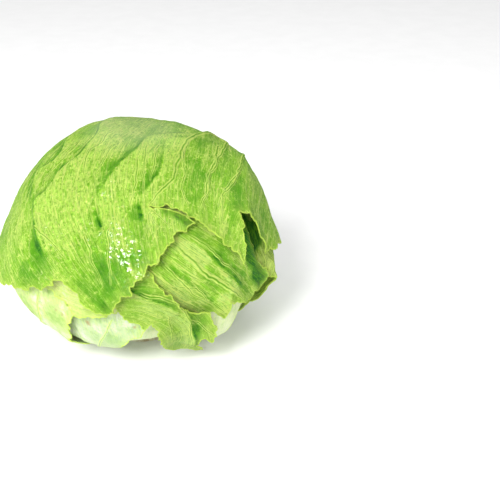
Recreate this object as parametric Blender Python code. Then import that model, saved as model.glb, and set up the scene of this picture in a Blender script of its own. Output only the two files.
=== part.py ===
"""Iceberg lettuce head standing on its cut stem, for Blender 4.5 (metres, +Z up, front along -Y).

The origin is the centre of the stem's cut face. Every leaf is a thin sheet wrapped round the head's
centre. A place on it is a direction from that centre, given as (lon, rise) in degrees: lon 0 faces the
front and lon 90 the right, rise 0 points down along the stem and rise 180 up to the crown. A leaf's
rim is a closed list of (lon, rise, lift), where lift is how far the edge stands off in millimetres.
All lengths below are millimetres, and MM turns them into metres when a mesh is made.
"""
import math
import random

import bmesh
import bpy
import numpy as np
from mathutils import Vector
from mathutils.geometry import delaunay_2d_cdt

MM = 0.001

# Head
HEAD_CENTRE_Z = 66.0
HEART_RADIUS = 73.6
HEART_RISE = 62.0        # from the head's centre up to the heart's crown
HEART_DEPTH = 58.0       # from the head's centre down to the heart's underside
HEART_DETAIL = 4         # subdivisions of the heart's sphere
HEART_STEP = 1.3         # height of a packed leaf's edge on the heart
HEART_STEP_WIDTH = 0.10  # radians over which that edge rises

# Stem
STEM_RADIUS = 17.0
STEM_TOP_RADIUS = 14.5
STEM_HEIGHT = 7.0
STEM_SIDES = 36
STEM_EDGE = 0.8          # round at the edge of the cut

# Leaves
LEAF_THICKNESS = 0.8
LEAF_STEP = 1.8          # one leaf's inner face to the next leaf's
SETTLE = 27.0            # beyond a leaf's rim the leaves over it settle back within this
BARE_FADE = 7.0          # away from the leaves over it a leaf's own relief grows within this
BARE_MARGIN = 1.5        # a leaf has no ribs or lift of its own this near to a leaf over it
MEAN_RADIUS = 76.0       # turns angles on the head into lengths
LATTICE = 10.0           # spacing of points inside a leaf
RIM_SPACING = 6.0
LIFT_WIDTH = 15.0        # strip along the rim that lifts off
RUFFLE = 1.6
RUFFLE_LENGTH = 17.0
TOOTH = 1.3              # how far an edge strays sideways
RIB_SPACING = 7.5
RIB_TAPER = 0.45         # a rib's height and width at its tip, as a share of those at its root

# Slow swells of the whole head: wave vector, phase, height
SWELLS = (
    ((4.1, 1.3, 2.2), 0.4, 1.0),
    ((-2.0, 4.6, 3.1), 1.9, 0.8),
    ((1.2, -3.0, 6.4), 3.1, 0.6),
    ((7.4, 3.8, -1.5), 5.0, 0.45),
)
# Hollows and bulges that all layers share: (lon, rise), radius, height
DIMPLES = (
    ((14, 119), 15.0, -2.4),
    ((-14, 118), 14.0, -1.2),
    ((62, 98), 17.0, -2.8),
    ((-60, 60), 29.0, 5.3),
    ((105, 132), 34.0, 2.6),
    ((84, 80), 20.0, 4.0),
    ((-80, 98), 20.0, -3.0),
    ((-30, 47), 21.0, 4.5),
    ((50.5, 53.5), 17.0, 8.0),
)
# Edges of the packed leaves that show on the heart: (lon, rise) of the leaf's middle, its half width
HEART_EDGES = (
    ((-20, 150), 75.0),
    ((100, 120), 62.0),
    ((-130, 110), 66.0),
    ((40, 80), 48.0),
    ((180, 70), 50.0),
)

# Leaves from the innermost to the outermost.
# Rib: height and half width at its root, then its (lon, rise) points from root to tip.
LEAVES = (
    dict(
        name="cup_leaf_back", middle=(140, 58), colour=(0.60, 0.74, 0.30),
        rim=((118, 17.5, 0), (150, 17, 0), (185, 17.5, 0), (-155, 32, 0), (-135, 55, 1), (-128, 80, 2),
             (-140, 98, 2), (-165, 106, 2), (165, 104, 2), (140, 109, 2), (112, 103, 2), (92, 92, 2),
             (80, 74, 1), (86, 52, 1), (100, 32, 0)),
        ribs=((2.4, 7.0, ((152, 18), (150, 45), (146, 72), (143, 94))),
              (1.4, 4.0, ((150, 36), (125, 62), (110, 84))),
              (1.4, 4.0, ((150, 36), (176, 62), (-170, 86)))),
    ),
    dict(
        name="cup_leaf_right", middle=(38, 60), colour=(0.70, 0.82, 0.45),
        rim=((2, 17.5, 0), (26, 17, 0), (52, 17.5, 0), (72, 34, 0), (86, 56, 1), (90, 76, 2),
             (78, 92, 2), (56, 99, 2), (34, 101, 2), (12, 98, 2), (-6, 88, 1), (-10, 66, 1),
             (-10, 46, 0), (-6, 30, 0)),
        ribs=((2.6, 8.0, ((27, 18), (32, 44), (38, 70), (42, 90))),
              (1.3, 4.0, ((29, 34), (12, 58), (4, 80))),
              (1.3, 4.0, ((30, 36), (55, 56), (70, 78)))),
    ),
    dict(
        name="cup_leaf_front", middle=(-25, 60), colour=(0.68, 0.81, 0.44),
        rim=((-58, 17.5, 0), (-38, 17, 0), (-18, 17.5, 0), (-15, 30, 0), (-12, 41, 0.5), (-8, 49, 1),
             (-3.5, 56, 1), (2.5, 62, 1.5), (6, 68, 2), (10, 78, 2), (12, 92, 1), (-8, 99, 1), (-34, 98, 1),
             (-55, 90, 1), (-64, 68, 1), (-68, 44, 0), (-66, 28, 0)),
        ribs=((2.6, 8.0, ((-38, 18), (-34, 42), (-28, 66), (-22, 90))),
              (1.2, 3.5, ((-37, 32), (-20, 52), (-8, 74))),
              (1.2, 3.5, ((-36, 34), (-50, 58), (-52, 80)))),
    ),
    dict(
        name="cup_leaf_left", middle=(-78, 60), colour=(0.72, 0.85, 0.36),
        rim=((-106, 17.5, 0), (-84, 17, 0), (-62, 17.5, 0), (-44, 27, 0), (-40, 35, 0), (-35, 42.5, 0.3),
             (-36.5, 47, 0.3), (-34.5, 50.5, 0.5), (-37, 53.5, 1), (-32.5, 58, 1),
             (-32.5, 62, 1.5), (-30, 66, 1.5), (-28, 71, 2), (-24.5, 75, 2.5), (-29, 80, 2), (-33, 88, 1), (-60, 95, 1), (-92, 94, 2), (-116, 84, 2), (-126, 62, 1),
             (-124, 40, 0), (-116, 26, 0)),
        ribs=((2.6, 8.0, ((-84, 18), (-82, 42), (-78, 66), (-74, 88))),
              (1.3, 3.8, ((-83, 32), (-62, 50), (-48, 68), (-42, 84))),
              (1.3, 3.8, ((-83, 34), (-102, 56), (-108, 78)))),
    ),
    dict(
        name="back_wrapper_leaf", middle=(110, 80), colour=(0.42, 0.66, 0.13),
        rim=((82, 17.5, 0), (96, 17, 0), (112, 17.5, 0), (134, 30, 0), (156, 48, 1), (168, 68, 2),
             (172, 90, 2), (158, 108, 2), (128, 118, 1), (96, 122, 0), (72, 118, 0), (58, 110, 0),
             (55, 102, 0), (55, 95, 0), (58, 89, 1), (63, 86, 2), (67, 84.5, 3), (71, 83.5, 4.5),
             (70, 80.5, 3.5), (75, 79, 5.5), (73, 76.5, 4), (78, 74.5, 5.5), (75.5, 71.5, 4.5),
             (79, 68, 4.5), (76, 64, 4), (79, 59, 3), (77, 52, 2), (79, 44, 1), (79, 30, 0)),
        ribs=((2.4, 7.0, ((97, 18), (104, 45), (110, 75), (112, 102))),
              (1.4, 3.6, ((102, 38), (84, 60), (76, 84), (74, 104))),
              (1.4, 3.6, ((103, 42), (130, 66), (146, 92)))),
    ),
    dict(
        name="inner_wrapper_leaf", middle=(-75, 88), colour=(0.62, 0.83, 0.22),
        rim=((-140, 17.5, 0), (-126, 17, 0), (-110, 17.5, 0), (-100, 34, 0), (-92, 54, 1), (-82, 70, 2),
             (-68, 79, 2), (-54, 84, 2), (-42, 86, 1.5), (-33, 84.5, 1), (-28, 82, 1), (-25, 77, 1),
             (-20, 75.5, 1), (-14, 76, 1), (-8, 78, 1), (-2, 81, 1), (8, 90, 0), (16, 104, 0),
             (2, 122, 0), (-34, 132, 0), (-84, 128, 0), (-128, 116, 1), (-150, 96, 2), (-156, 70, 2),
             (-152, 46, 1), (-148, 28, 0)),
        ribs=((2.4, 7.0, ((-125, 18), (-122, 48), (-108, 78), (-78, 102), (-45, 110))),
              (1.3, 3.6, ((-123, 40), (-138, 66), (-140, 92))),
              (1.2, 3.4, ((-112, 72), (-80, 84), (-52, 92), (-28, 88)))),
    ),
    dict(
        name="side_wrapper_leaf", middle=(-10, 172), colour=(0.50, 0.78, 0.16),
        rim=((160, 17.5, 0), (174, 17, 0), (-172, 17.5, 0), (-158, 42, 1), (-150, 64, 2),
             (-146, 86, 3), (-128, 99, 2), (-100, 116, 0), (-62, 128, 0), (-22, 122, 0), (0, 110, 0),
             (6, 99, 0), (12, 88, 0), (18, 78, 0), (24, 67, 0), (30, 66, 0), (34, 69, 2), (37.5, 72, 2.5),
             (41, 70, 3), (43.5, 68.5, 3), (44.5, 73, 3), (44, 77.5, 2.5), (51, 74.5, 2.5), (56, 72, 3),
             (61.5, 70.5, 2.5), (62, 74.5, 2.5), (67, 73.5, 2), (71, 76.5, 2), (70.5, 80.5, 2),
             (67.2, 85, 1.5), (64, 90, 1.5), (62.6, 95, 1.5), (61.6, 100, 1.5), (61.2, 105, 1.5),
             (60.5, 109.5, 1), (64, 118, 0), (92, 128, 0), (132, 120, 1), (152, 104, 3),
             (156, 84, 3), (154, 58, 2), (154, 36, 0)),
        ribs=((2.6, 7.5, ((174, 18), (173, 60), (176, 100), (-178, 140), (-60, 158), (-5, 136),
                          (18, 112), (27, 100), (36, 90), (43, 84), (52, 75))),
              (1.5, 3.6, ((-20, 150), (20, 118), (28, 110.5), (34, 104.5), (41, 96), (47, 89.5),
                          (53, 82))),
              (1.4, 3.4, ((-30, 138), (5, 112), (15, 100), (24, 89), (34, 79))),
              (1.5, 4.0, ((173, 56), (-168, 82), (-150, 104)))),
    ),
    dict(
        name="low_wrapper_leaf", middle=(-18, 100), colour=(0.46, 0.74, 0.15),
        rim=((-104, 22, 0), (-94, 20, 0), (-86, 30, 0), (-84, 52, 0), (-80, 76, 0), (-66, 96, 0),
             (-40, 102, 0), (-16, 96, 0), (-6, 84, 0), (-4, 80.5, 1), (-1, 77, 1.5), (4, 75, 1.5),
             (6.5, 72, 2), (9, 76, 2), (11.5, 71, 3), (13.5, 62, 4.5), (16, 52, 4), (18.5, 47, 4),
             (23, 45, 5.5), (27, 44, 5.5), (31.5, 45, 5), (33, 48, 5), (38, 44.5, 5.5),
             (42, 45.5, 6), (37.5, 50, 5), (33, 57.5, 4), (34, 61, 3.5), (37.5, 58.5, 4.5),
             (40, 62, 4.5), (38, 66.5, 3.5), (36, 71, 3), (34, 75, 2), (31, 76.5, 1.5), (26, 78, 1),
             (22, 81, 1.5), (19.5, 84, 2.5), (14.5, 90, 2), (11, 95, 1.5), (7, 102, 0), (2, 112, 0),
             (-22, 118, 0), (-58, 116, 0), (-88, 104, 0), (-104, 80, 1), (-110, 54, 1), (-110, 34, 0)),
        ribs=((2.2, 4.0, ((-97, 22), (-96, 52), (-88, 84), (-62, 107), (-26, 106), (-4, 95),
                          (3, 90.5), (10, 90), (16, 87), (20.5, 82.5), (23.5, 76.5), (27, 67),
                          (29, 55))),
              (1.6, 2.8, ((-26, 106), (-4, 98), (4, 94), (10.5, 94.5))),
              (1.0, 2.6, ((24, 76), (32, 68), (40, 60), (43, 54))),
              (0.9, 2.4, ((16, 78), (18, 66), (22, 54)))),
    ),
    dict(
        name="outer_wrapper_leaf", middle=(20, 152), colour=(0.38, 0.68, 0.12),
        rim=((126, 18, 0), (139, 17, 0), (152, 18, 0), (155, 38, 0), (164, 58, 2), (176, 72, 3),
             (-168, 79, 3), (-152, 76, 3), (-134, 83, 3), (-116, 82, 3.5), (-100, 88, 3), (-86, 87, 3),
             (-76, 87.5, 3.5), (-68, 85, 3), (-64, 81, 2.5), (-57, 82.5, 2.5), (-50, 84, 3),
             (-44, 84.5, 2.5), (-40, 87, 2.5), (-35.5, 87, 2.5), (-30, 91.5, 2), (-26, 93, 1.5),
             (-22.5, 91, 1.5), (-19.5, 87.5, 2), (-16, 83.5, 2.5), (-12, 82, 2.5), (-8.5, 80.5, 3),
             (-4, 85.5, 2.5), (-2, 89.5, 2.5), (1.5, 91, 2.5), (2, 95, 2), (6, 97, 2.5), (8, 102, 2),
             (12.5, 102.5, 2.5), (14, 106, 2), (18.8, 109, 2.5), (19.8, 111.3, 1.5),
             (25.5, 112.4, 1.5), (31, 114.4, 0.5), (28.5, 118, 0), (21, 122.2, 0), (10.8, 124.4, 0.5),
             (21, 123.4, 3.5), (27, 119.8, 4), (31.5, 115.4, 4), (35.5, 110.9, 3), (39.8, 105.8, 2),
             (44.5, 101.4, 1.5), (47, 97.5, 1.5), (49.5, 93, 2), (50.8, 98, 2.5), (51.6, 103, 2.5),
             (52.2, 106.5, 2.5), (54.6, 107, 2.5), (54, 110.5, 2), (54, 113, 2), (57.5, 111.5, 3),
             (60.6, 109.6, 3), (62, 106.5, 3), (64.8, 102.5, 3), (65.6, 98.5, 3), (67, 94.5, 3),
             (67, 91.3, 3), (72, 90.5, 2), (79, 88.5, 1), (87, 86, 1), (98, 84, 2), (108, 84, 3),
             (116, 72, 2), (120, 52, 1), (123, 34, 0)),
        ribs=((3.0, 6.0, ((139, 18), (136, 60), (130, 100), (124, 130), (97, 149), (62, 151.5),
                          (38, 143.5), (27.5, 135.5), (17, 130), (11, 125))),
              (2.0, 3.4, ((124, 130), (104, 134), (80, 137), (61.5, 134), (54.5, 132.5), (46.5, 126),
                          (40.5, 122), (36, 119))),
              (1.6, 3.2, ((126, 112), (102.5, 124.5), (79.5, 127), (66, 124.5), (51.5, 121),
                          (44.5, 112.5))),
              (1.6, 3.6, ((130, 106), (170, 124), (-140, 126), (-108, 112), (-98, 98))),
              (1.6, 4.5, ((60, 162), (29.5, 164), (6, 153.5), (-7.5, 143), (-12, 135), (-16, 127.5))),
              (1.8, 5.0, ((-110, 163), (-57.5, 160), (-45.5, 146.5), (-47.5, 135.5), (-45, 125),
                          (-42.5, 111), (-33, 100.5)))),
    ),
)


def direction(lon, rise):
    """Unit vector from the head's centre."""
    a, b = math.radians(lon), math.radians(rise)
    return np.array([math.sin(a) * math.sin(b), -math.cos(a) * math.sin(b), -math.cos(b)])


def unit(v):
    return v / np.linalg.norm(v, axis=-1, keepdims=True)


def smooth(t):
    t = np.clip(t, 0.0, 1.0)
    return t * t * (3.0 - 2.0 * t)


def nearest(points, places):
    """Index of the place nearest to each point, and how far it is over the head."""
    dots = np.clip(points @ places.T, -1.0, 1.0)
    index = np.argmax(dots, axis=1)
    best = dots[np.arange(len(points)), index]
    return index, np.arccos(best) * MEAN_RADIUS


def head_radius(d):
    """Distance from the head's centre to the skin that the leaves are wrapped round."""
    height = np.where(d[:, 2] > 0, HEART_RISE, HEART_DEPTH)
    flat = (d[:, 0] ** 2 + d[:, 1] ** 2) / HEART_RADIUS ** 2
    radius = 1.0 / np.sqrt(flat + (d[:, 2] / height) ** 2)
    for wave, phase, size in SWELLS:
        radius += size * np.sin(d @ np.array(wave) + phase)
    for place, reach, size in DIMPLES:
        away = np.arccos(np.clip(d @ direction(*place), -1.0, 1.0)) * MEAN_RADIUS
        radius += size * np.exp(-(away / reach) ** 2)
    return radius


def heart_radius(d):
    """Distance from the head's centre to the packed heart, each leaf of it a step below the last."""
    radius = head_radius(d)
    for number, (place, half_width) in enumerate(HEART_EDGES):
        middle = direction(*place)
        side = unit(np.cross(middle, (0.3, 0.2, 1.0)))
        bearing = np.arctan2(d @ np.cross(middle, side), d @ side)
        edge = math.radians(half_width) * (1.0 + 0.06 * np.sin(5.0 * bearing + number))
        away = np.arccos(np.clip(d @ middle, -1.0, 1.0))
        radius -= HEART_STEP * smooth((away - edge) / HEART_STEP_WIDTH)
    return radius


def spline(before, start, end, after, t):
    """Point on the curve through start and end, turned towards their neighbours."""
    k1 = max(np.linalg.norm(start - before), 1e-6) ** 0.5
    k2 = max(np.linalg.norm(end - start), 1e-6) ** 0.5
    k3 = max(np.linalg.norm(after - end), 1e-6) ** 0.5
    m1 = (start - before) / k1 - (end - before) / (k1 + k2) + (end - start) / k2
    m2 = (end - start) / k2 - (after - start) / (k2 + k3) + (after - end) / k3
    m1, m2 = m1 * k2, m2 * k2
    return (start * (2 * t ** 3 - 3 * t ** 2 + 1) + m1 * (t ** 3 - 2 * t ** 2 + t)
            + end * (3 * t ** 2 - 2 * t ** 3) + m2 * (t ** 3 - t ** 2))


def rim_of(leaf, rng):
    """Directions and lifts along the leaf's rim, with a tooth here and there on its free edge."""
    corners = [direction(lon, rise) for lon, rise, lift in leaf["rim"]]
    lifts = [lift for lon, rise, lift in leaf["rim"]]
    count = len(corners)
    places, heights = [], []
    for i in range(count):
        before, start = corners[i - 1], corners[i]
        end, after = corners[(i + 1) % count], corners[(i + 2) % count]
        length = np.linalg.norm(end - start) * MEAN_RADIUS
        pieces = max(1, round(length / RIM_SPACING))
        for j in range(pieces):
            t = j / pieces
            place = spline(before, start, end, after, t)
            free = min(lifts[i], lifts[(i + 1) % count], 1.0)
            if j:
                side = unit(np.cross(place, end - start))
                place = place + side * rng.uniform(-1, 1) * TOOTH * free / MEAN_RADIUS
            places.append(unit(place))
            heights.append(lifts[i] * (1 - t) + lifts[(i + 1) % count] * t)
    return np.array(places), np.array(heights)


def ribs_of(leaf):
    """Directions, heights and half widths of the points along the leaf's ribs."""
    places, heights, widths = [], [], []
    for height, width, points in leaf["ribs"]:
        corners = [direction(lon, rise) for lon, rise in points]
        corners = [corners[0]] + corners + [corners[-1]]
        spans = len(corners) - 3
        for i in range(spans):
            start, end = corners[i + 1], corners[i + 2]
            pieces = max(1, math.ceil(np.linalg.norm(end - start) * MEAN_RADIUS / RIB_SPACING))
            for j in range(pieces + (i == spans - 1)):
                t = j / pieces
                share = 1.0 - (1.0 - RIB_TAPER) * (i + t) / spans
                places.append(unit(spline(corners[i], start, end, corners[i + 3], t)))
                heights.append(height * share)
                widths.append(width * share)
    return np.array(places), np.array(heights), np.array(widths)


def flat_map(leaf, d):
    """Map that keeps angles, from directions to a plane about the leaf's middle."""
    middle = direction(*leaf["middle"])
    across = unit(np.cross(middle, (0.21, 0.35, 0.91)))
    along = np.cross(middle, across)
    scale = 2.0 / (1.0 + d @ middle)
    return np.stack([(d @ across) * scale, (d @ along) * scale], axis=1)


def within_flat(leaf, points):
    """Whether each point of the leaf's plane falls inside its rim."""
    edge = leaf["edge"]
    inside = np.zeros(len(points), bool)
    for (ax, ay), (bx, by) in zip(edge, np.roll(edge, -1, axis=0)):
        if ay == by:
            continue
        crosses = (ay > points[:, 1]) != (by > points[:, 1])
        inside ^= crosses & (points[:, 0] < (bx - ax) * (points[:, 1] - ay) / (by - ay) + ax)
    return inside


def within(leaf, d):
    return within_flat(leaf, flat_map(leaf, d))


def cover(leaf, d, margin, fade):
    """1 where the leaf lies and within a margin round it, falling to 0 over a further strip."""
    away = nearest(d, leaf["places"])[1]
    return np.where(within(leaf, d), 1.0, 1.0 - smooth((away - margin) / fade))


def prepare(leaves):
    for number, leaf in enumerate(leaves):
        rng = random.Random(40 + number)
        leaf["places"], leaf["lifts"] = rim_of(leaf, rng)
        leaf["edge"] = flat_map(leaf, leaf["places"])
        leaf["rib_places"], leaf["rib_heights"], leaf["rib_widths"] = ribs_of(leaf)
        leaf["phase"] = rng.uniform(0, 2 * math.pi)


def leaf_faces(leaves, number, d):
    """Distances from the head's centre to the inner and outer face of a leaf."""
    leaf = leaves[number]
    inner = head_radius(d) + (LEAF_STEP - LEAF_THICKNESS)
    for below in leaves[:number]:
        inner += LEAF_STEP * cover(below, d, 0.0, SETTLE)
    bare = np.ones(len(d))
    for above in leaves[number + 1:]:
        bare *= 1.0 - cover(above, d, BARE_MARGIN, BARE_FADE)
    index, away = nearest(d, leaf["places"])
    lift = leaf["lifts"][index]
    edge = np.clip(1.0 - away / LIFT_WIDTH, 0.0, 1.0)
    wave = np.sin(2 * math.pi * index * RIM_SPACING / RUFFLE_LENGTH + leaf["phase"])
    ruffle = RUFFLE * np.clip(lift, 0.0, 1.0) * 0.5 * (1.0 + wave)
    inner += bare * (lift * edge ** 1.5 + ruffle * edge ** 2)
    index, away = nearest(d, leaf["rib_places"])
    rib = np.clip(1.0 - (away / leaf["rib_widths"][index]) ** 2, 0.0, 1.0) ** 2
    outer = inner + LEAF_THICKNESS + bare * leaf["rib_heights"][index] * rib
    return inner, outer


def lattice():
    """Evenly spaced directions over the whole head."""
    count = round(4 * math.pi * MEAN_RADIUS ** 2 / (0.866 * LATTICE ** 2))
    i = np.arange(count) + 0.5
    z = 1.0 - 2.0 * i / count
    turn = i * math.pi * (3.0 - math.sqrt(5.0))
    flat = np.sqrt(1.0 - z * z)
    return np.stack([flat * np.cos(turn), flat * np.sin(turn), z], axis=1)


def leaf_points(leaf):
    """Rim points, then points on the ribs and beside them, then evenly spaced ones."""
    rim, ribs = leaf["places"], leaf["rib_places"]
    widths = leaf["rib_widths"][:, None]
    run = unit(np.roll(ribs, -1, axis=0) - np.roll(ribs, 1, axis=0))
    side = unit(np.cross(ribs, run)) * widths / MEAN_RADIUS
    chosen = rim
    for group, gap in ((ribs, 0.45 * RIM_SPACING), (unit(ribs + side), 0.45 * RIM_SPACING),
                       (unit(ribs - side), 0.45 * RIM_SPACING), (lattice(), 0.62 * LATTICE)):
        group = group[within(leaf, group)]
        for place in group:
            if nearest(place[None, :], chosen)[1][0] > gap:
                chosen = np.vstack([chosen, place])
    return chosen


def make_material(name, colour, roughness):
    material = bpy.data.materials.new(name)
    material.use_nodes = True
    shader = material.node_tree.nodes["Principled BSDF"]
    shader.inputs["Base Color"].default_value = (*colour, 1.0)
    shader.inputs["Roughness"].default_value = roughness
    shader.inputs["Metallic"].default_value = 0.0
    material.diffuse_color = (*colour, 1.0)
    return material


def make_object(name, bm, material):
    bmesh.ops.recalc_face_normals(bm, faces=bm.faces[:])
    mesh = bpy.data.meshes.new(name)
    bm.to_mesh(mesh)
    bm.free()
    mesh.shade_smooth()
    mesh.set_sharp_from_angle(angle=math.radians(50))
    mesh.materials.append(material)
    thing = bpy.data.objects.new(name, mesh)
    bpy.context.collection.objects.link(thing)
    return thing


def place_of(d, radius):
    return Vector((d * radius)) * MM + Vector((0.0, 0.0, HEAD_CENTRE_Z * MM))


def make_leaf(leaves, number):
    """A sheet whose two faces share one pattern of triangles, closed by a wall along its rim."""
    leaf = leaves[number]
    d = leaf_points(leaf)
    rim_count = len(leaf["places"])
    rim_edges = [(i, (i + 1) % rim_count) for i in range(rim_count)]
    flat = flat_map(leaf, d)
    corners, edges, triangles, *rest = delaunay_2d_cdt(
        [Vector(point.tolist()) for point in flat], rim_edges, [], 0, 1e-9, False)
    if len(corners) != len(flat):
        raise RuntimeError(leaf["name"] + ": the rim crosses itself")
    triangles = np.array(triangles)
    triangles = triangles[within_flat(leaf, flat[triangles].mean(axis=1))].tolist()
    inner, outer = leaf_faces(leaves, number, d)
    bm = bmesh.new()
    under = [bm.verts.new(place_of(place, radius)) for place, radius in zip(d, inner)]
    over = [bm.verts.new(place_of(place, radius)) for place, radius in zip(d, outer)]
    for a, b, c in triangles:
        bm.faces.new((over[a], over[b], over[c]))
        bm.faces.new((under[c], under[b], under[a]))
    for a, b in rim_edges:
        bm.faces.new((over[a], under[a], under[b]))
        bm.faces.new((over[a], under[b], over[b]))
    return make_object(leaf["name"], bm, make_material(leaf["name"], leaf["colour"], 0.45))


def make_heart():
    """The packed inner leaves, with the edges of the outermost of them standing out."""
    bm = bmesh.new()
    bmesh.ops.create_icosphere(bm, subdivisions=HEART_DETAIL, radius=1.0)
    d = unit(np.array([vert.co[:] for vert in bm.verts]))
    for vert, place, radius in zip(bm.verts, d, heart_radius(d)):
        vert.co = place_of(place, radius)
    return make_object("heart", bm, make_material("heart", (0.52, 0.72, 0.20), 0.5))


def make_stem():
    """The cut stem: a short plug with a flat foot, narrowing upwards into the leaf bases."""
    profile = ((STEM_RADIUS - STEM_EDGE, 0.0), (STEM_RADIUS, STEM_EDGE),
               (STEM_RADIUS, STEM_HEIGHT * 0.35), (STEM_TOP_RADIUS, STEM_HEIGHT))
    bm = bmesh.new()
    rings = []
    for radius, z in profile:
        ring = []
        for i in range(STEM_SIDES):
            turn = 2 * math.pi * i / STEM_SIDES
            reach = radius * (1.0 + 0.025 * math.sin(3 * turn + 0.5) + 0.015 * math.sin(5 * turn))
            ring.append(bm.verts.new(Vector((math.cos(turn) * reach, math.sin(turn) * reach, z)) * MM))
        rings.append(ring)
    for low, high in zip(rings, rings[1:]):
        for i in range(STEM_SIDES):
            j = (i + 1) % STEM_SIDES
            bm.faces.new((low[i], low[j], high[j], high[i]))
    bm.faces.new(rings[0][::-1])
    bm.faces.new(rings[-1])
    return make_object("cut_stem", bm, make_material("cut_stem", (0.52, 0.46, 0.30), 0.7))


def main():
    for thing in list(bpy.data.objects):
        bpy.data.objects.remove(thing, do_unlink=True)
    leaves = [dict(leaf) for leaf in LEAVES]
    prepare(leaves)
    make_stem()
    make_heart()
    for number in range(len(leaves)):
        make_leaf(leaves, number)


main()
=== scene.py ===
"""Iceberg lettuce head with its veined, ruffled leaves, cut stem and stage (Blender 4.5, run as a script).

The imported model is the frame: metres, +Z up, front along -Y, origin at the centre of the stem's cut.
Leaves are sheets wrapped round the head's centre. A place on a leaf is (lon, rise) in degrees: lon 0
faces the front and lon 90 the right, rise 0 points down along the stem and rise 180 up to the crown.
Lengths on a leaf are millimetres, and MM turns them into metres when a mesh is made.
"""
import math
import random

import bpy
import numpy as np
from bpy.props import FloatProperty, FloatVectorProperty, IntProperty, PointerProperty
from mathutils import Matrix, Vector


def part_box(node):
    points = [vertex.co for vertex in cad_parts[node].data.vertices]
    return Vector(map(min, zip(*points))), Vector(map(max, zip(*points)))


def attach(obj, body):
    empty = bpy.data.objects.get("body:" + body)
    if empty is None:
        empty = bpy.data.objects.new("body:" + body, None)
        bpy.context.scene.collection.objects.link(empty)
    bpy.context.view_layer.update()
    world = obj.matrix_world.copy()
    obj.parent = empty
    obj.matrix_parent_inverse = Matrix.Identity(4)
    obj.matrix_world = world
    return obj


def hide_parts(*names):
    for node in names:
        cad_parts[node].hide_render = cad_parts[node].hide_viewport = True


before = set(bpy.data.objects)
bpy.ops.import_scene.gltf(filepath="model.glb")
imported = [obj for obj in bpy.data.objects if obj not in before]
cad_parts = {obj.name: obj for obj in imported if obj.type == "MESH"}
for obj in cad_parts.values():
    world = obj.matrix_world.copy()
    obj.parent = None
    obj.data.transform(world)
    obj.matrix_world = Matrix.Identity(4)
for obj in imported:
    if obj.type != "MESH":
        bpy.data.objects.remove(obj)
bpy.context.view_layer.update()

bl_info = {
    "name": "Iceberg Lettuce",
    "version": (1, 0, 0),
    "blender": (4, 5, 0),
    "location": "3D View > Sidebar > Lettuce",
    "description": "Dresses the packed lettuce head: fine leaves, heart, cut stem and a soft-lit stage",
    "category": "Object",
}

MM = 0.001
STEM_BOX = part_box("cut_stem")

# The head that all leaves are wrapped round, as the solids have it
MEAN_RADIUS = 76.0       # turns angles on the head into lengths
# Swells are waves over the whole head: their three rates, phase and height
SWELLS = (
    ((4.1, 1.3, 2.2), 0.4, 1.0),
    ((-2.0, 4.6, 3.1), 1.9, 0.8),
    ((1.2, -3.0, 6.4), 3.1, 0.6),
    ((7.4, 3.8, -1.5), 5.0, 0.45),
)
# Dimples, and bulges where the height is above 0: place, reach, height
DIMPLES = (
    ((14, 119), 15.0, -2.4),
    ((-14, 118), 14.0, -1.2),
    ((62, 98), 17.0, -2.8),
    ((-60, 60), 29.0, 5.3),
    ((105, 132), 34.0, 2.6),
    ((84, 80), 20.0, 4.0),
    ((-80, 98), 20.0, -3.0),
    ((-30, 47), 21.0, 4.5),
    ((50.5, 53.5), 17.0, 8.0),
)
# Leaves packed in the heart: the place of each one's middle, and how far its edge is from it in degrees
HEART_EDGES = (
    ((-20, 150), 75.0),
    ((100, 120), 62.0),
    ((-130, 110), 66.0),
    ((40, 80), 48.0),
    ((180, 70), 50.0),
)

# Margins
RIM_SPACING = 6.0        # between the solid's rim points
TOOTH = 1.3              # how far the solid's rim points stray to either side
FINE_RIM = 0.5           # between the fine rim's points
SMALL_TEETH = ((1.0, 2.6, 3), (0.5, 1.1, 8))   # height, length, random values to a rim point
LIFT_WIDTH = 15.0        # strip along the rim that lifts off
RUFFLE_LENGTH = 17.0
CURL_LENGTH = 6.3
TIGHT_LENGTH = 3.1       # of the shortest waves, right at the rim
TIGHT_SHARE = 0.4        # their height as a share of the curl's
SHARE_WIDTH = 2.0        # a point near the rim takes its lift from the rim points within about this

# Relief of a blade
LINE_SPACING = 0.7       # between the points along a rib or vein
RIB_SWELL = 0.45         # a rib swells by this share of its height, under its crest
LINE_REACH = 2.5         # the finish draws a rib or vein within this many half widths of its middle
LINE_FAR = 3.0           # offsets from a line are kept within this many half widths
PLEATS = ((9.0, 0.42), (17.0, 0.3), (31.0, 0.18), (55.0, 0.10))   # rate across the fan, share
PLEAT_FADE = 6.0         # pleats grow within this distance from the rim
FOLD_FADE = 4.0          # and folds within this
TONE_LIMITS = (-3.0, 1.2)
SMOOTH_ANGLE = math.radians(60)

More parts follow.
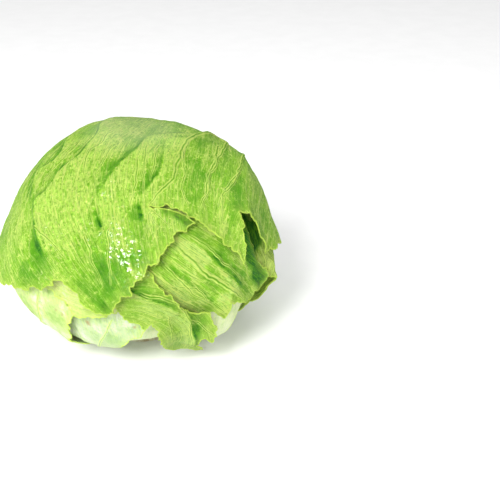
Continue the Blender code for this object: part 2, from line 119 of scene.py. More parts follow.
# Leaves from the innermost to the outermost. A rim point is (lon, rise, lift off the leaf below).
# A rib is its height and half width at its root, then its points from root to tip. Fine veins fan out
# from a place, and turn as they go: by the first number times the angle gone, and the second times its
# square.
LEAVES = (
    dict(
        name="cup_leaf_back", middle=(140, 58), finish="cup", fan=(150, -8), turn=(0.0, 0.0),
        rim=((118, 17.5, 0), (150, 17, 0), (185, 17.5, 0), (-155, 32, 0), (-135, 55, 1), (-128, 80, 2),
             (-140, 98, 2), (-165, 106, 2), (165, 104, 2), (140, 109, 2), (112, 103, 2), (92, 92, 2),
             (80, 74, 1), (86, 52, 1), (100, 32, 0)),
        ribs=((2.4, 7.0, ((152, 18), (150, 45), (146, 72), (143, 94))),
              (1.4, 4.0, ((150, 36), (125, 62), (110, 84))),
              (1.4, 4.0, ((150, 36), (176, 62), (-170, 86)))),
    ),
    dict(
        name="cup_leaf_right", middle=(38, 60), finish="cup_white_and_painted_light", fan=(27, -8), turn=(0.0, 0.0),
        rim=((2, 17.5, 0), (26, 17, 0), (52, 17.5, 0), (72, 34, 0), (86, 56, 1), (90, 76, 2),
             (78, 92, 2), (56, 99, 2), (34, 101, 2), (12, 98, 2), (-6, 88, 1), (-10, 66, 1),
             (-10, 46, 0), (-6, 30, 0)),
        ribs=((2.6, 8.0, ((27, 18), (32, 44), (38, 70), (42, 90))),
              (1.3, 4.0, ((29, 34), (12, 58), (4, 80))),
              (1.3, 4.0, ((30, 36), (55, 56), (70, 78)))),
    ),
    dict(
        name="cup_leaf_front", middle=(-25, 60), finish="cup", fan=(-38, -8), turn=(0.0, 0.0),
        rim=((-58, 17.5, 0), (-38, 17, 0), (-18, 17.5, 0), (-15, 30, 0), (-12, 41, 0.5), (-8, 49, 1),
             (-3.5, 56, 1), (2.5, 62, 1.5), (6, 68, 2), (10, 78, 2), (12, 92, 1), (-8, 99, 1), (-34, 98, 1),
             (-55, 90, 1), (-64, 68, 1), (-68, 44, 0), (-66, 28, 0)),
        ribs=((2.6, 8.0, ((-38, 18), (-34, 42), (-28, 66), (-22, 90))),
              (1.2, 3.5, ((-37, 32), (-20, 52), (-8, 74))),
              (1.2, 3.5, ((-36, 34), (-50, 58), (-52, 80)))),
    ),
    dict(
        name="cup_leaf_left", middle=(-78, 60), finish="cup_yellow", fan=(-84, -8), turn=(0.0, 0.0),
        rim=((-106, 17.5, 0), (-84, 17, 0), (-62, 17.5, 0), (-44, 27, 0), (-40, 35, 0), (-35, 42.5, 0.3),
             (-36.5, 47, 0.3), (-34.5, 50.5, 0.5), (-37, 53.5, 1),
             (-32.5, 58, 1), (-32.5, 62, 1.5), (-30, 66, 1.5), (-28, 71, 2), (-24.5, 75, 2.5),
             (-29, 80, 2), (-33, 88, 1), (-60, 95, 1), (-92, 94, 2), (-116, 84, 2), (-126, 62, 1),
             (-124, 40, 0), (-116, 26, 0)),
        ribs=((2.6, 8.0, ((-84, 18), (-82, 42), (-78, 66), (-74, 88))),
              (1.3, 3.8, ((-83, 32), (-62, 50), (-48, 68), (-42, 84))),
              (1.3, 3.8, ((-83, 34), (-102, 56), (-108, 78)))),
    ),
    dict(
        name="back_wrapper_leaf", middle=(110, 80), finish="back", fan=(98, 10), turn=(0.0, 0.0),
        rim=((82, 17.5, 0), (96, 17, 0), (112, 17.5, 0), (134, 30, 0), (156, 48, 1), (168, 68, 2),
             (172, 90, 2), (158, 108, 2), (128, 118, 1), (96, 122, 0), (72, 118, 0), (58, 110, 0),
             (55, 102, 0), (55, 95, 0), (58, 89, 1), (63, 86, 2), (67, 84.5, 3), (71, 83.5, 4.5),
             (70, 80.5, 3.5), (75, 79, 5.5), (73, 76.5, 4), (78, 74.5, 5.5), (75.5, 71.5, 4.5),
             (79, 68, 4.5), (76, 64, 4), (79, 59, 3), (77, 52, 2), (79, 44, 1), (79, 30, 0)),
        ribs=((2.4, 7.0, ((97, 18), (104, 45), (110, 75), (112, 102))),
              (1.4, 3.6, ((102, 38), (84, 60), (76, 84), (74, 104))),
              (1.4, 3.6, ((103, 42), (130, 66), (146, 92)))),
    ),
    dict(
        name="inner_wrapper_leaf", middle=(-75, 88), finish="inner", fan=(-60, 117), turn=(-0.7, 0.0),
        rim=((-140, 17.5, 0), (-126, 17, 0), (-110, 17.5, 0), (-100, 34, 0), (-92, 54, 1), (-82, 70, 2),
             (-68, 79, 2), (-54, 84, 2), (-42, 86, 1.5), (-33, 84.5, 1), (-28, 82, 1), (-25, 77, 1),
             (-20, 75.5, 1), (-14, 76, 1), (-8, 78, 1), (-2, 81, 1), (8, 90, 0), (16, 104, 0),
             (2, 122, 0), (-34, 132, 0), (-84, 128, 0), (-128, 116, 1), (-150, 96, 2), (-156, 70, 2),
             (-152, 46, 1), (-148, 28, 0)),
        ribs=((2.4, 7.0, ((-125, 18), (-122, 48), (-108, 78), (-78, 102), (-45, 110))),
              (1.3, 3.6, ((-123, 40), (-138, 66), (-140, 92))),
              (1.2, 3.4, ((-112, 72), (-80, 84), (-52, 92), (-28, 88)))),
    ),
    dict(
        name="side_wrapper_leaf", middle=(-10, 172), finish="side", fan=(-60, 175), turn=(-0.9, 0.0),
        rim=((160, 17.5, 0), (174, 17, 0), (-172, 17.5, 0), (-158, 42, 1), (-150, 64, 2),
             (-146, 86, 3), (-128, 99, 2), (-100, 116, 0), (-62, 128, 0), (-22, 122, 0), (0, 110, 0),
             (6, 99, 0), (12, 88, 0), (18, 78, 0), (24, 67, 0), (30, 66, 0), (34, 69, 2), (37.5, 72, 2.5),
             (41, 70, 3), (43.5, 68.5, 3), (44.5, 73, 3), (44, 77.5, 2.5), (51, 74.5, 2.5), (56, 72, 3),
             (61.5, 70.5, 2.5), (62, 74.5, 2.5), (67, 73.5, 2), (71, 76.5, 2), (70.5, 80.5, 2),
             (67.2, 85, 1.5), (64, 90, 1.5), (62.6, 95, 1.5), (61.6, 100, 1.5), (61.2, 105, 1.5),
             (60.5, 109.5, 1), (64, 118, 0), (92, 128, 0), (132, 120, 1), (152, 104, 3),
             (156, 84, 3), (154, 58, 2), (154, 36, 0)),
        ribs=((2.6, 7.5, ((174, 18), (173, 60), (176, 100), (-178, 140), (-60, 158), (-5, 136),
                          (18, 112), (27, 100), (36, 90), (43, 84), (52, 75))),
              (1.5, 3.6, ((-20, 150), (20, 118), (28, 110.5), (34, 104.5), (41, 96), (47, 89.5),
                          (53, 82))),
              (1.4, 3.4, ((-30, 138), (5, 112), (15, 100), (24, 89), (34, 79))),
              (1.5, 4.0, ((173, 56), (-168, 82), (-150, 104)))),
    ),
    dict(
        name="low_wrapper_leaf", middle=(-18, 100), finish="low", fan=(-10, 78), turn=(2.35, 0.0),
        rim=((-104, 22, 0), (-94, 20, 0), (-86, 30, 0), (-84, 52, 0), (-80, 76, 0), (-66, 96, 0),
             (-40, 102, 0), (-16, 96, 0), (-6, 84, 0), (-4, 80.5, 1), (-1, 77, 1.5), (4, 75, 1.5),
             (6.5, 72, 2), (9, 76, 2), (11.5, 71, 3), (13.5, 62, 4.5), (16, 52, 4), (18.5, 47, 4),
             (23, 45, 5.5), (27, 44, 5.5), (31.5, 45, 5), (33, 48, 5), (38, 44.5, 5.5),
             (42, 45.5, 6), (37.5, 50, 5), (33, 57.5, 4), (34, 61, 3.5), (37.5, 58.5, 4.5),
             (40, 62, 4.5), (38, 66.5, 3.5), (36, 71, 3), (34, 75, 2), (31, 76.5, 1.5), (26, 78, 1),
             (22, 81, 1.5), (19.5, 84, 2.5), (14.5, 90, 2), (11, 95, 1.5), (7, 102, 0), (2, 112, 0),
             (-22, 118, 0), (-58, 116, 0), (-88, 104, 0), (-104, 80, 1), (-110, 54, 1), (-110, 34, 0)),
        ribs=((2.2, 4.0, ((-97, 22), (-96, 52), (-88, 84), (-62, 107), (-26, 106), (-4, 95),
                          (3, 90.5), (10, 90), (16, 87), (20.5, 82.5), (23.5, 76.5), (27, 67),
                          (29, 55))),
              (1.6, 2.8, ((-26, 106), (-4, 98), (4, 94), (10.5, 94.5))),
              (1.0, 2.6, ((24, 76), (32, 68), (40, 60), (43, 54))),
              (0.9, 2.4, ((16, 78), (18, 66), (22, 54)))),
    ),
    dict(
        name="outer_wrapper_leaf", middle=(20, 152), finish="outer", fan=(-170, 116), turn=(1.2, -0.275),
        rim=((126, 18, 0), (139, 17, 0), (152, 18, 0), (155, 38, 0), (164, 58, 2), (176, 72, 3),
             (-168, 79, 3), (-152, 76, 3), (-134, 83, 3), (-116, 82, 3.5), (-100, 88, 3), (-86, 87, 3),
             (-76, 87.5, 3.5), (-68, 85, 3), (-64, 81, 2.5), (-57, 82.5, 2.5), (-50, 84, 3),
             (-44, 84.5, 2.5), (-40, 87, 2.5), (-35.5, 87, 2.5), (-30, 91.5, 2), (-26, 93, 1.5),
             (-22.5, 91, 1.5), (-19.5, 87.5, 2), (-16, 83.5, 2.5), (-12, 82, 2.5), (-8.5, 80.5, 3),
             (-4, 85.5, 2.5), (-2, 89.5, 2.5), (1.5, 91, 2.5), (2, 95, 2), (6, 97, 2.5), (8, 102, 2),
             (12.5, 102.5, 2.5), (14, 106, 2), (18.8, 109, 2.5), (19.8, 111.3, 1.5),
             (25.5, 112.4, 1.5), (31, 114.4, 0.5), (28.5, 118, 0), (21, 122.2, 0), (10.8, 124.4, 0.5),
             (21, 123.4, 3.5), (27, 119.8, 4), (31.5, 115.4, 4), (35.5, 110.9, 3), (39.8, 105.8, 2),
             (44.5, 101.4, 1.5), (47, 97.5, 1.5), (49.5, 93, 2), (50.8, 98, 2.5), (51.6, 103, 2.5),
             (52.2, 106.5, 2.5), (54.6, 107, 2.5), (54, 110.5, 2), (54, 113, 2), (57.5, 111.5, 3),
             (60.6, 109.6, 3), (62, 106.5, 3), (64.8, 102.5, 3), (65.6, 98.5, 3), (67, 94.5, 3),
             (67, 91.3, 3), (72, 90.5, 2), (79, 88.5, 1), (87, 86, 1), (98, 84, 2), (108, 84, 3),
             (116, 72, 2), (120, 52, 1), (123, 34, 0)),
        ribs=((3.0, 6.0, ((139, 18), (136, 60), (130, 100), (124, 130), (97, 149), (62, 151.5),
                          (38, 143.5), (27.5, 135.5), (17, 130), (11, 125))),
              (2.0, 3.4, ((124, 130), (104, 134), (80, 137), (61.5, 134), (54.5, 132.5), (46.5, 126),
                          (40.5, 122), (36, 119))),
              (1.6, 3.2, ((126, 112), (102.5, 124.5), (79.5, 127), (66, 124.5), (51.5, 121),
                          (44.5, 112.5))),
              (1.6, 3.6, ((130, 106), (170, 124), (-140, 126), (-108, 112), (-98, 98)))),
    ),
)

# Folds that stand out from a leaf: height, width on its shaded side and on its lit side, run. The shaded
# side is to the right of the run, seen from outside.
FOLDS = {
    "outer_wrapper_leaf": (
        (3.2, 3.2, 8.0, ((97, 149), (60, 162), (29.5, 164), (6, 153.5), (-7.5, 143), (-12, 135),
                         (-16, 127.5))),
        (3.2, 3.2, 9.0, ((-168, 152.5), (-110, 163), (-57.5, 160), (-52, 154.5), (-45.5, 146.5),
                         (-47.5, 135.5), (-45, 125), (-49, 120), (-42.5, 111), (-37.5, 105),
                         (-33, 100.5), (-29.5, 98))),
        (2.4, 2.6, 7.0, ((-102.5, 151.5), (-92.5, 146), (-70.5, 142), (-66, 137), (-68.5, 130),
                         (-61.5, 124.5), (-53, 117))),
        (1.2, 2.4, 5.0, ((80, 150), (50, 158), (33, 151), (22, 141), (12, 133), (5, 128))),
        (-1.4, 1.4, 2.2, ((-15.5, 124), (-13, 119.5), (-10.5, 115))),
        (-0.8, 1.4, 2.2, ((6.5, 126), (7.2, 122), (7.6, 118))),
    ),
    "side_wrapper_leaf": (
        (0.9, 2.6, 6.0, ((51, 80), (45, 88), (38, 96), (31, 104), (24, 111))),
        (0.5, 2.6, 5.0, ((36, 78), (31, 84), (23, 92), (15, 100))),
    ),
    "low_wrapper_leaf": (
        (2.4, 2.2, 5.0, ((33, 50), (31, 57), (27.5, 65), (25.5, 72), (23, 79), (19, 86))),
        (1.2, 2.2, 4.0, ((20, 79), (16, 84), (8, 88), (-4, 92))),
    ),
}

# Single veins that show as pale lines: strength, which widens them too, and run
VEINS = {
    "outer_wrapper_leaf": (
        (1.1, ((50, 148), (40.5, 139.5), (31.5, 130.5), (30.5, 125), (30, 121.5))),
        (1.35, ((89, 139), (75.5, 138), (66, 135.5), (59.5, 134.5), (53.5, 133), (49, 130), (46, 127),
                (43.5, 125), (39.5, 122.5), (34.5, 119))),
        (0.9, ((75, 126), (60.5, 124), (53, 122.5), (48, 119.5), (46, 117.5))),
        (0.8, ((45, 126), (44, 123.5), (43, 120))),
        (0.7, ((40, 121.5), (39, 118), (37, 114.5))),
        (1.0, ((31, 156.5), (22.5, 149.5), (17, 141.5), (13, 135))),
        (1.0, ((17, 155.5), (12, 146.5), (9.5, 137.5), (8.5, 128))),
        (1.0, ((6, 147), (5, 135.5), (3.5, 130.5), (1, 124))),
        (1.0, ((-23, 158), (-23, 151), (-22, 144), (-22.5, 139.5), (-18, 130.5))),
        (1.15, ((-50, 164), (-40.5, 159), (-40, 150), (-36.5, 144), (-32, 138.5), (-27, 132))),
        (1.15, ((-77, 160.5), (-68.5, 156), (-58.5, 148.5), (-53, 141.5), (-51, 138.5))),
        (1.15, ((-74.5, 151.5), (-62.5, 143), (-59, 138.5), (-58.5, 131), (-53.5, 126.5), (-48.5, 122.5))),
        (0.7, ((-70, 138.5), (-66, 134.5), (-64, 131))),
        (1.0, ((-80, 126), (-74, 122.5), (-69, 117.5), (-59.5, 111.5), (-56, 105), (-52, 100))),
        (1.0, ((-18, 110.5), (-15.5, 107), (-13.5, 101), (-11, 97), (-9, 92))),
        (1.0, ((-8, 114), (-7, 110), (-6.5, 100.5), (-5.5, 93.5))),
        (1.0, ((-42, 110.5), (-36, 108), (-29.5, 104), (-25, 99.5))),
        (0.8, ((-81.5, 138), (-68.5, 129), (-61.5, 120.5), (-57, 112), (-53, 104), (-49, 97))),
        (0.8, ((-55.5, 128), (-51.5, 119), (-48, 111.5), (-45, 104.5), (-42.5, 97.5))),
        (0.7, ((-69.5, 126), (-64, 117.5), (-61.5, 109.5), (-58.5, 102), (-55, 95))),
        (0.7, ((10.5, 121.5), (9, 116.5), (6.5, 111))),
        (0.7, ((11, 121.5), (12.5, 116.5), (17.5, 113))),
        (0.7, ((12.5, 122), (17, 118), (20.5, 114.5))),
    ),
    "side_wrapper_leaf": (
        (1.0, ((32.5, 113), (38, 106), (43.5, 102.5), (49.5, 95.5))),
        (1.0, ((56, 105), (54.5, 98), (54, 90), (58, 81.5))),
        (1.0, ((18.5, 91.5), (25.5, 89), (31.5, 84), (34, 79))),
    ),
}

# Browned specks of a leaf: place, reach, amount
BLEMISHES = {
    "cup_leaf_front": (((-21, 69.5), 1.2, 1.0), ((-20.5, 68), 1.0, 0.8), ((1.5, 69.5), 0.9, 0.8)),
    "cup_leaf_left": (((-31.5, 73.5), 1.0, 0.8), ((-35, 74.5), 0.8, 0.6)),
}

# Wet places of a leaf that glint: place, reach, amount
GLINTS = {
    "outer_wrapper_leaf": (
        ((6, 108.5), 9.0, 1.0), ((-2, 102.5), 8.0, 1.0), ((-15, 130.5), 5.0, 0.8), ((-7.5, 137), 3.5, 0.8),
        ((51, 128), 8.0, 0.5), ((16, 119), 6.0, 0.8), ((56, 122), 7.0, 0.5), ((0, 98), 9.0, 0.6),
        ((-37, 110.5), 6.0, 0.9), ((-32.5, 94), 5.0, 0.9), ((24, 114.5), 5.0, 0.8), ((10, 119), 5.0, 0.8),
        ((-9, 113), 9.0, 0.6), ((-30, 105), 6.0, 0.6),
    ),
}

# Patches of a leaf that are paler, where the amount is above 0, or deeper green: place, reach, amount.
# Many are painted shade in the tear's gaps, the creases, the dimple and under the pleat's edge. Some
# are painted light that lifts shaded hollows.
TONES_AND_PAINTED_SHADE = {
    "outer_wrapper_leaf": (
        ((-30, 123), 20.0, 1.0), ((-1, 125), 16.0, 0.7), ((-56, 107), 16.0, 1.0), ((-7, 113), 12.0, 0.5),
        # The next line and the first two patches after it are painted shade down the two creases.
        ((-14, 121.5), 1.7, -1.4), ((-12.8, 119), 1.7, -1.6), ((-11.5, 116.5), 1.7, -1.5),
        ((6.5, 124.5), 1.8, -1.2), ((7.5, 121), 1.8, -1.2), ((-42, 112), 4.0, -0.9),
        ((-39, 104), 4.0, -0.7), ((-8, 106), 8.0, -0.6), ((26, 134), 4.0, 0.9), ((17, 129), 3.5, 0.8),
        ((34, 140), 4.0, 0.7), ((13, 113), 8.0, 0.5), ((52, 127), 8.0, 0.3), ((41, 136), 14.0, -0.9),
        ((-8, 91), 18.0, -1.0),
        # The next line and (26, 119) below it are painted shadow under the pleat's overhanging edge, along
        # the slit.
        ((18, 122.5), 3.0, -1.8), ((23, 120), 3.5, -2.2), ((27.5, 117), 3.5, -2.2), ((29, 113), 4.0, -0.6),
        ((60, 119), 14.0, -0.6), ((26, 119), 4.0, -0.9), ((76, 143), 16.0, -0.5), ((-42, 90), 14.0, -0.4),
        ((-62, 84), 8.0, 0.5), ((-58, 136), 10.0, -0.4), ((-4, 146), 12.0, -0.4), ((-46, 116), 5.0, -0.5),
        # (3, 121) is painted shade in the dimple where the pleat starts.
        ((3, 121), 3.5, -1.2), ((-60, 155), 26.0, 0.4), ((20, 168), 22.0, 0.5), ((66, 101), 6.0, -1.2),
        ((80, 98), 12.0, -0.3), ((-51, 104), 7.0, 0.7), ((-48, 110), 6.0, 0.6),
    ),
    "side_wrapper_leaf": (
        ((35, 95), 6.0, -0.7), ((39, 89), 5.0, -0.6), ((27, 107), 10.0, 0.6), ((31, 101), 9.0, 0.4),
        # (20, 122.5) and (27, 119) are painted light in the shaded gap under the outer leaf's pleat.
        ((22, 88), 8.0, 0.5), ((36, 94), 8.0, -0.7), ((20, 122.5), 7.0, 1.2), ((27, 119), 7.0, 1.2),
        # The next line and the first three patches after it are painted shade in the tear's gap.
        ((61.5, 84), 4.5, -1.6), ((65, 79.5), 4.5, -1.6), ((59, 104), 5.5, -3.2), ((58.5, 98), 5.5, -3.2),
        ((60, 91), 5.5, -3.0), ((64, 84), 5.0, -2.6), ((68, 78), 5.0, -1.6), ((16, 97), 7.0, -0.5),
        ((33, 86), 6.0, -0.5),
    ),
    "low_wrapper_leaf": (
        ((11, 88), 6.0, 0.2), ((5, 85), 6.0, 0.2), ((0, 82), 8.0, -0.4), ((20, 73), 5.0, -0.4),
        ((30, 69), 4.5, -0.6), ((32, 60), 5.0, 0.7), ((40, 72), 5.0, -0.5), ((42, 56), 6.0, 0.4),
    ),
    # The left cup leaf's two patches are painted light, lifting the shade on its side near its lifted
    # margin.
    "cup_leaf_left": (((-39, 46), 8.0, 1.2), ((-30, 47), 8.0, 0.8)),
    "back_wrapper_leaf": (
        # The patches below 0 are painted shade in the deepest gap of the tear.
        ((61, 106), 8.0, -3.5), ((64, 98), 7.0, -3.5), ((64, 91), 5.0, -3.0), ((70.5, 95), 5.5, -3.5),
        ((68.5, 101), 6.0, -2.0), ((74, 80), 8.0, 1.2), ((76, 90), 8.0, 0.4),
    ),
}

# How strongly each finish shows its streaks, net veins, puckers and pale base
FINISHES = dict(
    outer=(0.8, 0.5, 1.1, 0.3),
    side=(1.0, 0.4, 0.8, 0.3),
    low=(0.9, 0.6, 0.8, 0.3),
    back=(0.9, 0.5, 0.8, 0.7),
    inner=(0.6, 0.4, 0.6, 0.6),
    cup=(0.3, 0.15, 0.3, 0.9),
    cup_white_and_painted_light=(0.25, 0.1, 0.25, 0.8),
    cup_yellow=(0.3, 0.2, 0.4, 0.7),
)
# Tints that turn a blade's colour into its deep, light and darkest places. The darkest is painted shade,
# where tone patches and the shaded sides of folds fall below -1.
DEEP_TINT = (0.45, 0.68, 0.3)
LIGHT_TINT = (1.9, 1.32, 6.2)
PAINTED_SHADE_TINT = (0.06, 0.26, 0.2)

# Rings of the stem's cut face from its edge inwards, in millimetres: width, and how far it steps in
CUT_RINGS = ((0.8, 0.0), (3.0, 0.5), (4.0, 0.5), (4.0, 0.4))

# Square lamps: name, place and side in metres, and the setting that holds the power
LAMPS = (
    ("key", (-0.36, -1.05, 0.85), 0.5, "key"),
    ("top", (0.1, 0.1, 1.3), 1.2, "top"),
    ("front_glint", (-0.05, -0.93, 0.40), 0.035, "glint"),
    ("left_glint", (-0.97, -0.17, 0.24), 0.035, "glint"),
    ("right_glint", (0.56, -0.44, 0.77), 0.035, "glint"),
)


# Settings


def size_setting(name, description, default):
    return FloatProperty(name=name, description=description, default=default, unit="LENGTH")


def colour_setting(name, description, default):
    return FloatVectorProperty(name=name, description=description, default=default, subtype="COLOR",
                               min=0.0, max=1.0)


class LettuceHeadSettings(bpy.types.PropertyGroup):
    centre_height: size_setting("Centre height", "Height of the head's centre over the stem's cut",
                                66.0 * MM)
    radius: size_setting("Radius", "Level radius of the packed heart", 73.6 * MM)
    rise: size_setting("Crown", "From the head's centre up to the crown of the heart", 62.0 * MM)
    depth: size_setting("Depth", "From the head's centre down to the heart's underside", 58.0 * MM)
    heart_detail: IntProperty(
        name="Heart detail", description="Subdivisions of the heart's sphere", default=6, min=4, max=7)
    heart_step: size_setting("Heart step", "Height of a packed leaf's edge on the heart", 1.3 * MM)
    stem_radius: size_setting("Stem radius", "Radius of the cut end of the stem", 17.0 * MM)
    stem_top_radius: size_setting("Stem radius under the leaves",
                                  "Radius where the stem meets the leaf bases", 14.5 * MM)


class LettuceLeafSettings(bpy.types.PropertyGroup):
    detail: IntProperty(
        name="Sheet detail", description="Subdivisions of the sphere that a leaf is cut from", default=7,
        min=5, max=7)
    thickness: size_setting("Thickness", "Thickness of a leaf's blade", 0.7 * MM)
    step: size_setting("Step", "One leaf's inner face to the next leaf's", 1.8 * MM)
    settle: size_setting("Settle", "Beyond a leaf's rim the leaves over it settle back within this",
                         27.0 * MM)
    bare_fade: size_setting("Relief fade", "Away from the leaves over it a leaf's relief grows within this",
                            7.0 * MM)
    bare_margin: size_setting("Relief margin", "A leaf is smooth this near to a leaf that lies over it",
                              1.5 * MM)
    ruffle: size_setting("Ruffle", "Height of the long waves along a free margin", 1.6 * MM)
    curl: size_setting("Curl", "Height of the short waves along a free margin", 0.9 * MM)
    fold: size_setting("Fold", "Height of the soft pleats between the ribs", 0.9 * MM)
    rib_width: FloatProperty(
        name="Rib width", description="Width of a rib's crest as a share of the rib's own", default=0.36)
    rib_height: FloatProperty(
        name="Rib height", description="Height of a rib's crest as a share of the rib's own",
        default=0.35)
    vein_width: size_setting("Vein width", "Half width of a single vein", 1.0 * MM)
    vein_height: size_setting("Vein height", "Height of a single vein", 0.4 * MM)
    pucker: size_setting("Pucker", "Height of the small blisters between the veins", 0.7 * MM)
    pucker_size: size_setting("Pucker size", "Size of the small blisters", 5.0 * MM)


class LettuceColourSettings(bpy.types.PropertyGroup):
    outer: colour_setting("Outer leaf", "Blade of the outermost leaf", (0.26, 0.64, 0.015))
    side: colour_setting("Side leaf", "Blade of the leaf under the outermost one, on the right",
                         (0.31, 0.66, 0.03))
    low: colour_setting("Low leaf", "Blade of the leaf that hangs at the front", (0.29, 0.64, 0.03))
    back: colour_setting("Back leaf", "Blade of the leaf that wraps the back", (0.30, 0.56, 0.03))
    inner: colour_setting("Inner leaf", "Blade of the yellow-green leaf at the lower left",
                          (0.84, 0.93, 0.36))
    cup: colour_setting("Cup leaves", "Blade of the pale leaves round the stem", (0.56, 0.70, 0.40))
    # The right cup leaf's whiter blade is partly its own pale colour and partly painted light that lifts
    # the shade cast by the leaves over it.
    cup_white_and_painted_light: colour_setting("Right cup leaf", "Blade of the whitish leaf at the lower right",
                              (0.84, 0.92, 0.56))
    cup_yellow: colour_setting("Left cup leaf", "Blade of the pale yellow leaf at the lower left",
                               (0.62, 0.78, 0.30))
    vein: colour_setting("Veins", "Veins and puckers of the green leaves", (0.74, 0.94, 0.20))
    # The margin colour is partly the leaves' own pale edge and partly a painted highlight along the rim.
    margin: colour_setting("Margins", "Thin pale edge of every leaf", (0.62, 0.86, 0.12))
    rib: colour_setting("Ribs", "Ribs and leaf bases", (0.76, 0.86, 0.56))
    heart: colour_setting("Heart", "Packed leaves of the heart", (0.58, 0.76, 0.22))
    stem: colour_setting("Cut stem", "Skin of the cut stem", (0.62, 0.62, 0.42))
    browned: colour_setting("Browned cut", "Browned rings on the stem's cut face", (0.33, 0.22, 0.11))
    blemish: colour_setting("Specks", "Colour of the browned specks on the pale leaves", (0.42, 0.26, 0.10))


class LettuceStageSettings(bpy.types.PropertyGroup):
    lens: FloatProperty(name="Lens", description="Camera focal length in millimetres", default=85.0)
    distance: size_setting("Camera distance", "From the camera to the head's centre", 708.3 * MM)
    elevation: FloatProperty(
        name="Camera elevation", description="Angle of the view above the level",
        default=math.radians(25.0), unit="ROTATION")
    aim_right: size_setting("Aim right", "How far right of the head's centre the camera looks", 66.0 * MM)
    aim_down: size_setting("Aim down", "How far below the head's centre the camera looks", 10.8 * MM)
    sky: FloatProperty(name="Sky", description="Brightness of the white surroundings", default=0.62)
    key: FloatProperty(
        name="Key light", description="Power of the softbox over the camera, in watts", default=24.2)
    top: FloatProperty(
        name="Top light", description="Power of the overhead softbox, in watts", default=3.0)
    glint: FloatProperty(
        name="Glint lights",
        description="Power of each small lamp that makes the wet leaf glint, in watts", default=1.2)
    floor_size: size_setting("Floor size", "Side of the floor", 6.0)


# Directions and outlines


def direction(lon, rise):
    """Unit vector from the head's centre."""
    a, b = math.radians(lon), math.radians(rise)
    return np.array([math.sin(a) * math.sin(b), -math.cos(a) * math.sin(b), -math.cos(b)])


def unit(v):
    """The vectors made one long."""
    return v / np.linalg.norm(v, axis=-1, keepdims=True)


def smooth(t):
    """Eased step from 0 to 1."""
    t = np.clip(t, 0.0, 1.0)
    return t * t * (3.0 - 2.0 * t)


def angles(d, places):
    """Angle between directions, in radians."""
    return np.arccos(np.clip(d @ places, -1.0, 1.0))


def nearest(points, places):
    """Index of the place nearest to each point, and how far it is over the head in millimetres."""
    index = np.empty(len(points), int)
    best = np.empty(len(points))
    chunk = 8192
    for start in range(0, len(points), chunk):
        dots = points[start:start + chunk] @ places.T
        chosen = np.argmax(dots, axis=1)
        index[start:start + chunk] = chosen
        best[start:start + chunk] = dots[np.arange(len(chosen)), chosen]
    return index, np.arccos(np.clip(best, -1.0, 1.0)) * MEAN_RADIUS


def spline(before, start, end, after, t):
    """Point on the curve through start and end, turned towards their neighbours."""
    k1 = max(np.linalg.norm(start - before), 1e-6) ** 0.5
    k2 = max(np.linalg.norm(end - start), 1e-6) ** 0.5
    k3 = max(np.linalg.norm(after - end), 1e-6) ** 0.5
    m1 = (start - before) / k1 - (end - before) / (k1 + k2) + (end - start) / k2
    m2 = (end - start) / k2 - (after - start) / (k2 + k3) + (after - end) / k3
    m1, m2 = m1 * k2, m2 * k2
    return (start * (2 * t ** 3 - 3 * t ** 2 + 1) + m1 * (t ** 3 - 2 * t ** 2 + t)
            + end * (3 * t ** 2 - 2 * t ** 3) + m2 * (t ** 3 - t ** 2))


def rim_of(leaf, rng):
    """Directions and lifts along the leaf's rim, with the same teeth as the solid's."""
    corners = [direction(lon, rise) for lon, rise, lift in leaf["rim"]]
    lifts = [lift for lon, rise, lift in leaf["rim"]]
    count = len(corners)
    places, heights = [], []
    for i in range(count):
        before, start = corners[i - 1], corners[i]
        end, after = corners[(i + 1) % count], corners[(i + 2) % count]
        length = np.linalg.norm(end - start) * MEAN_RADIUS
        pieces = max(1, round(length / RIM_SPACING))
        for j in range(pieces):
            t = j / pieces
            place = spline(before, start, end, after, t)
            free = min(lifts[i], lifts[(i + 1) % count], 1.0)
            if j:
                side = unit(np.cross(place, end - start))
                place = place + side * rng.uniform(-1, 1) * TOOTH * free / MEAN_RADIUS
            places.append(unit(place))
            heights.append(lifts[i] * (1 - t) + lifts[(i + 1) % count] * t)
    return np.array(places), np.array(heights)


def fine_rim(leaf, rng):
    """The rim in short steps, with small ragged teeth where the margin is free."""
    places, heights = leaf["places"], leaf["lifts"]
    count = len(places)
    teeth = [(height, length, [rng.uniform(-1, 1) for i in range(count * number)])
             for height, length, number in SMALL_TEETH]
    points, lifts, run = [], [], []
    travelled = 0.0
    for i in range(count):
        start, end = places[i], places[(i + 1) % count]
        length = np.linalg.norm(end - start) * MEAN_RADIUS
        pieces = max(1, math.ceil(length / FINE_RIM))
        for j in range(pieces):
            t = j / pieces
            place = start * (1 - t) + end * t
            lift = heights[i] * (1 - t) + heights[(i + 1) % count] * t
            free = min(lift, 1.0)
            s = travelled + length * t
            tooth = sum(size * wobble(values, s / long) for size, long, values in teeth)
            side = unit(np.cross(place, end - start))
            points.append(unit(place + side * tooth * free / MEAN_RADIUS))
            lifts.append(lift)
            run.append(s)
        travelled += length
    return np.array(points), np.array(lifts), np.array(run)


def wobble(values, x):
    """Smooth line through random values."""
    i = int(x)
    t = x - i
    t = t * t * (3.0 - 2.0 * t)
    return values[i % len(values)] * (1 - t) + values[(i + 1) % len(values)] * t


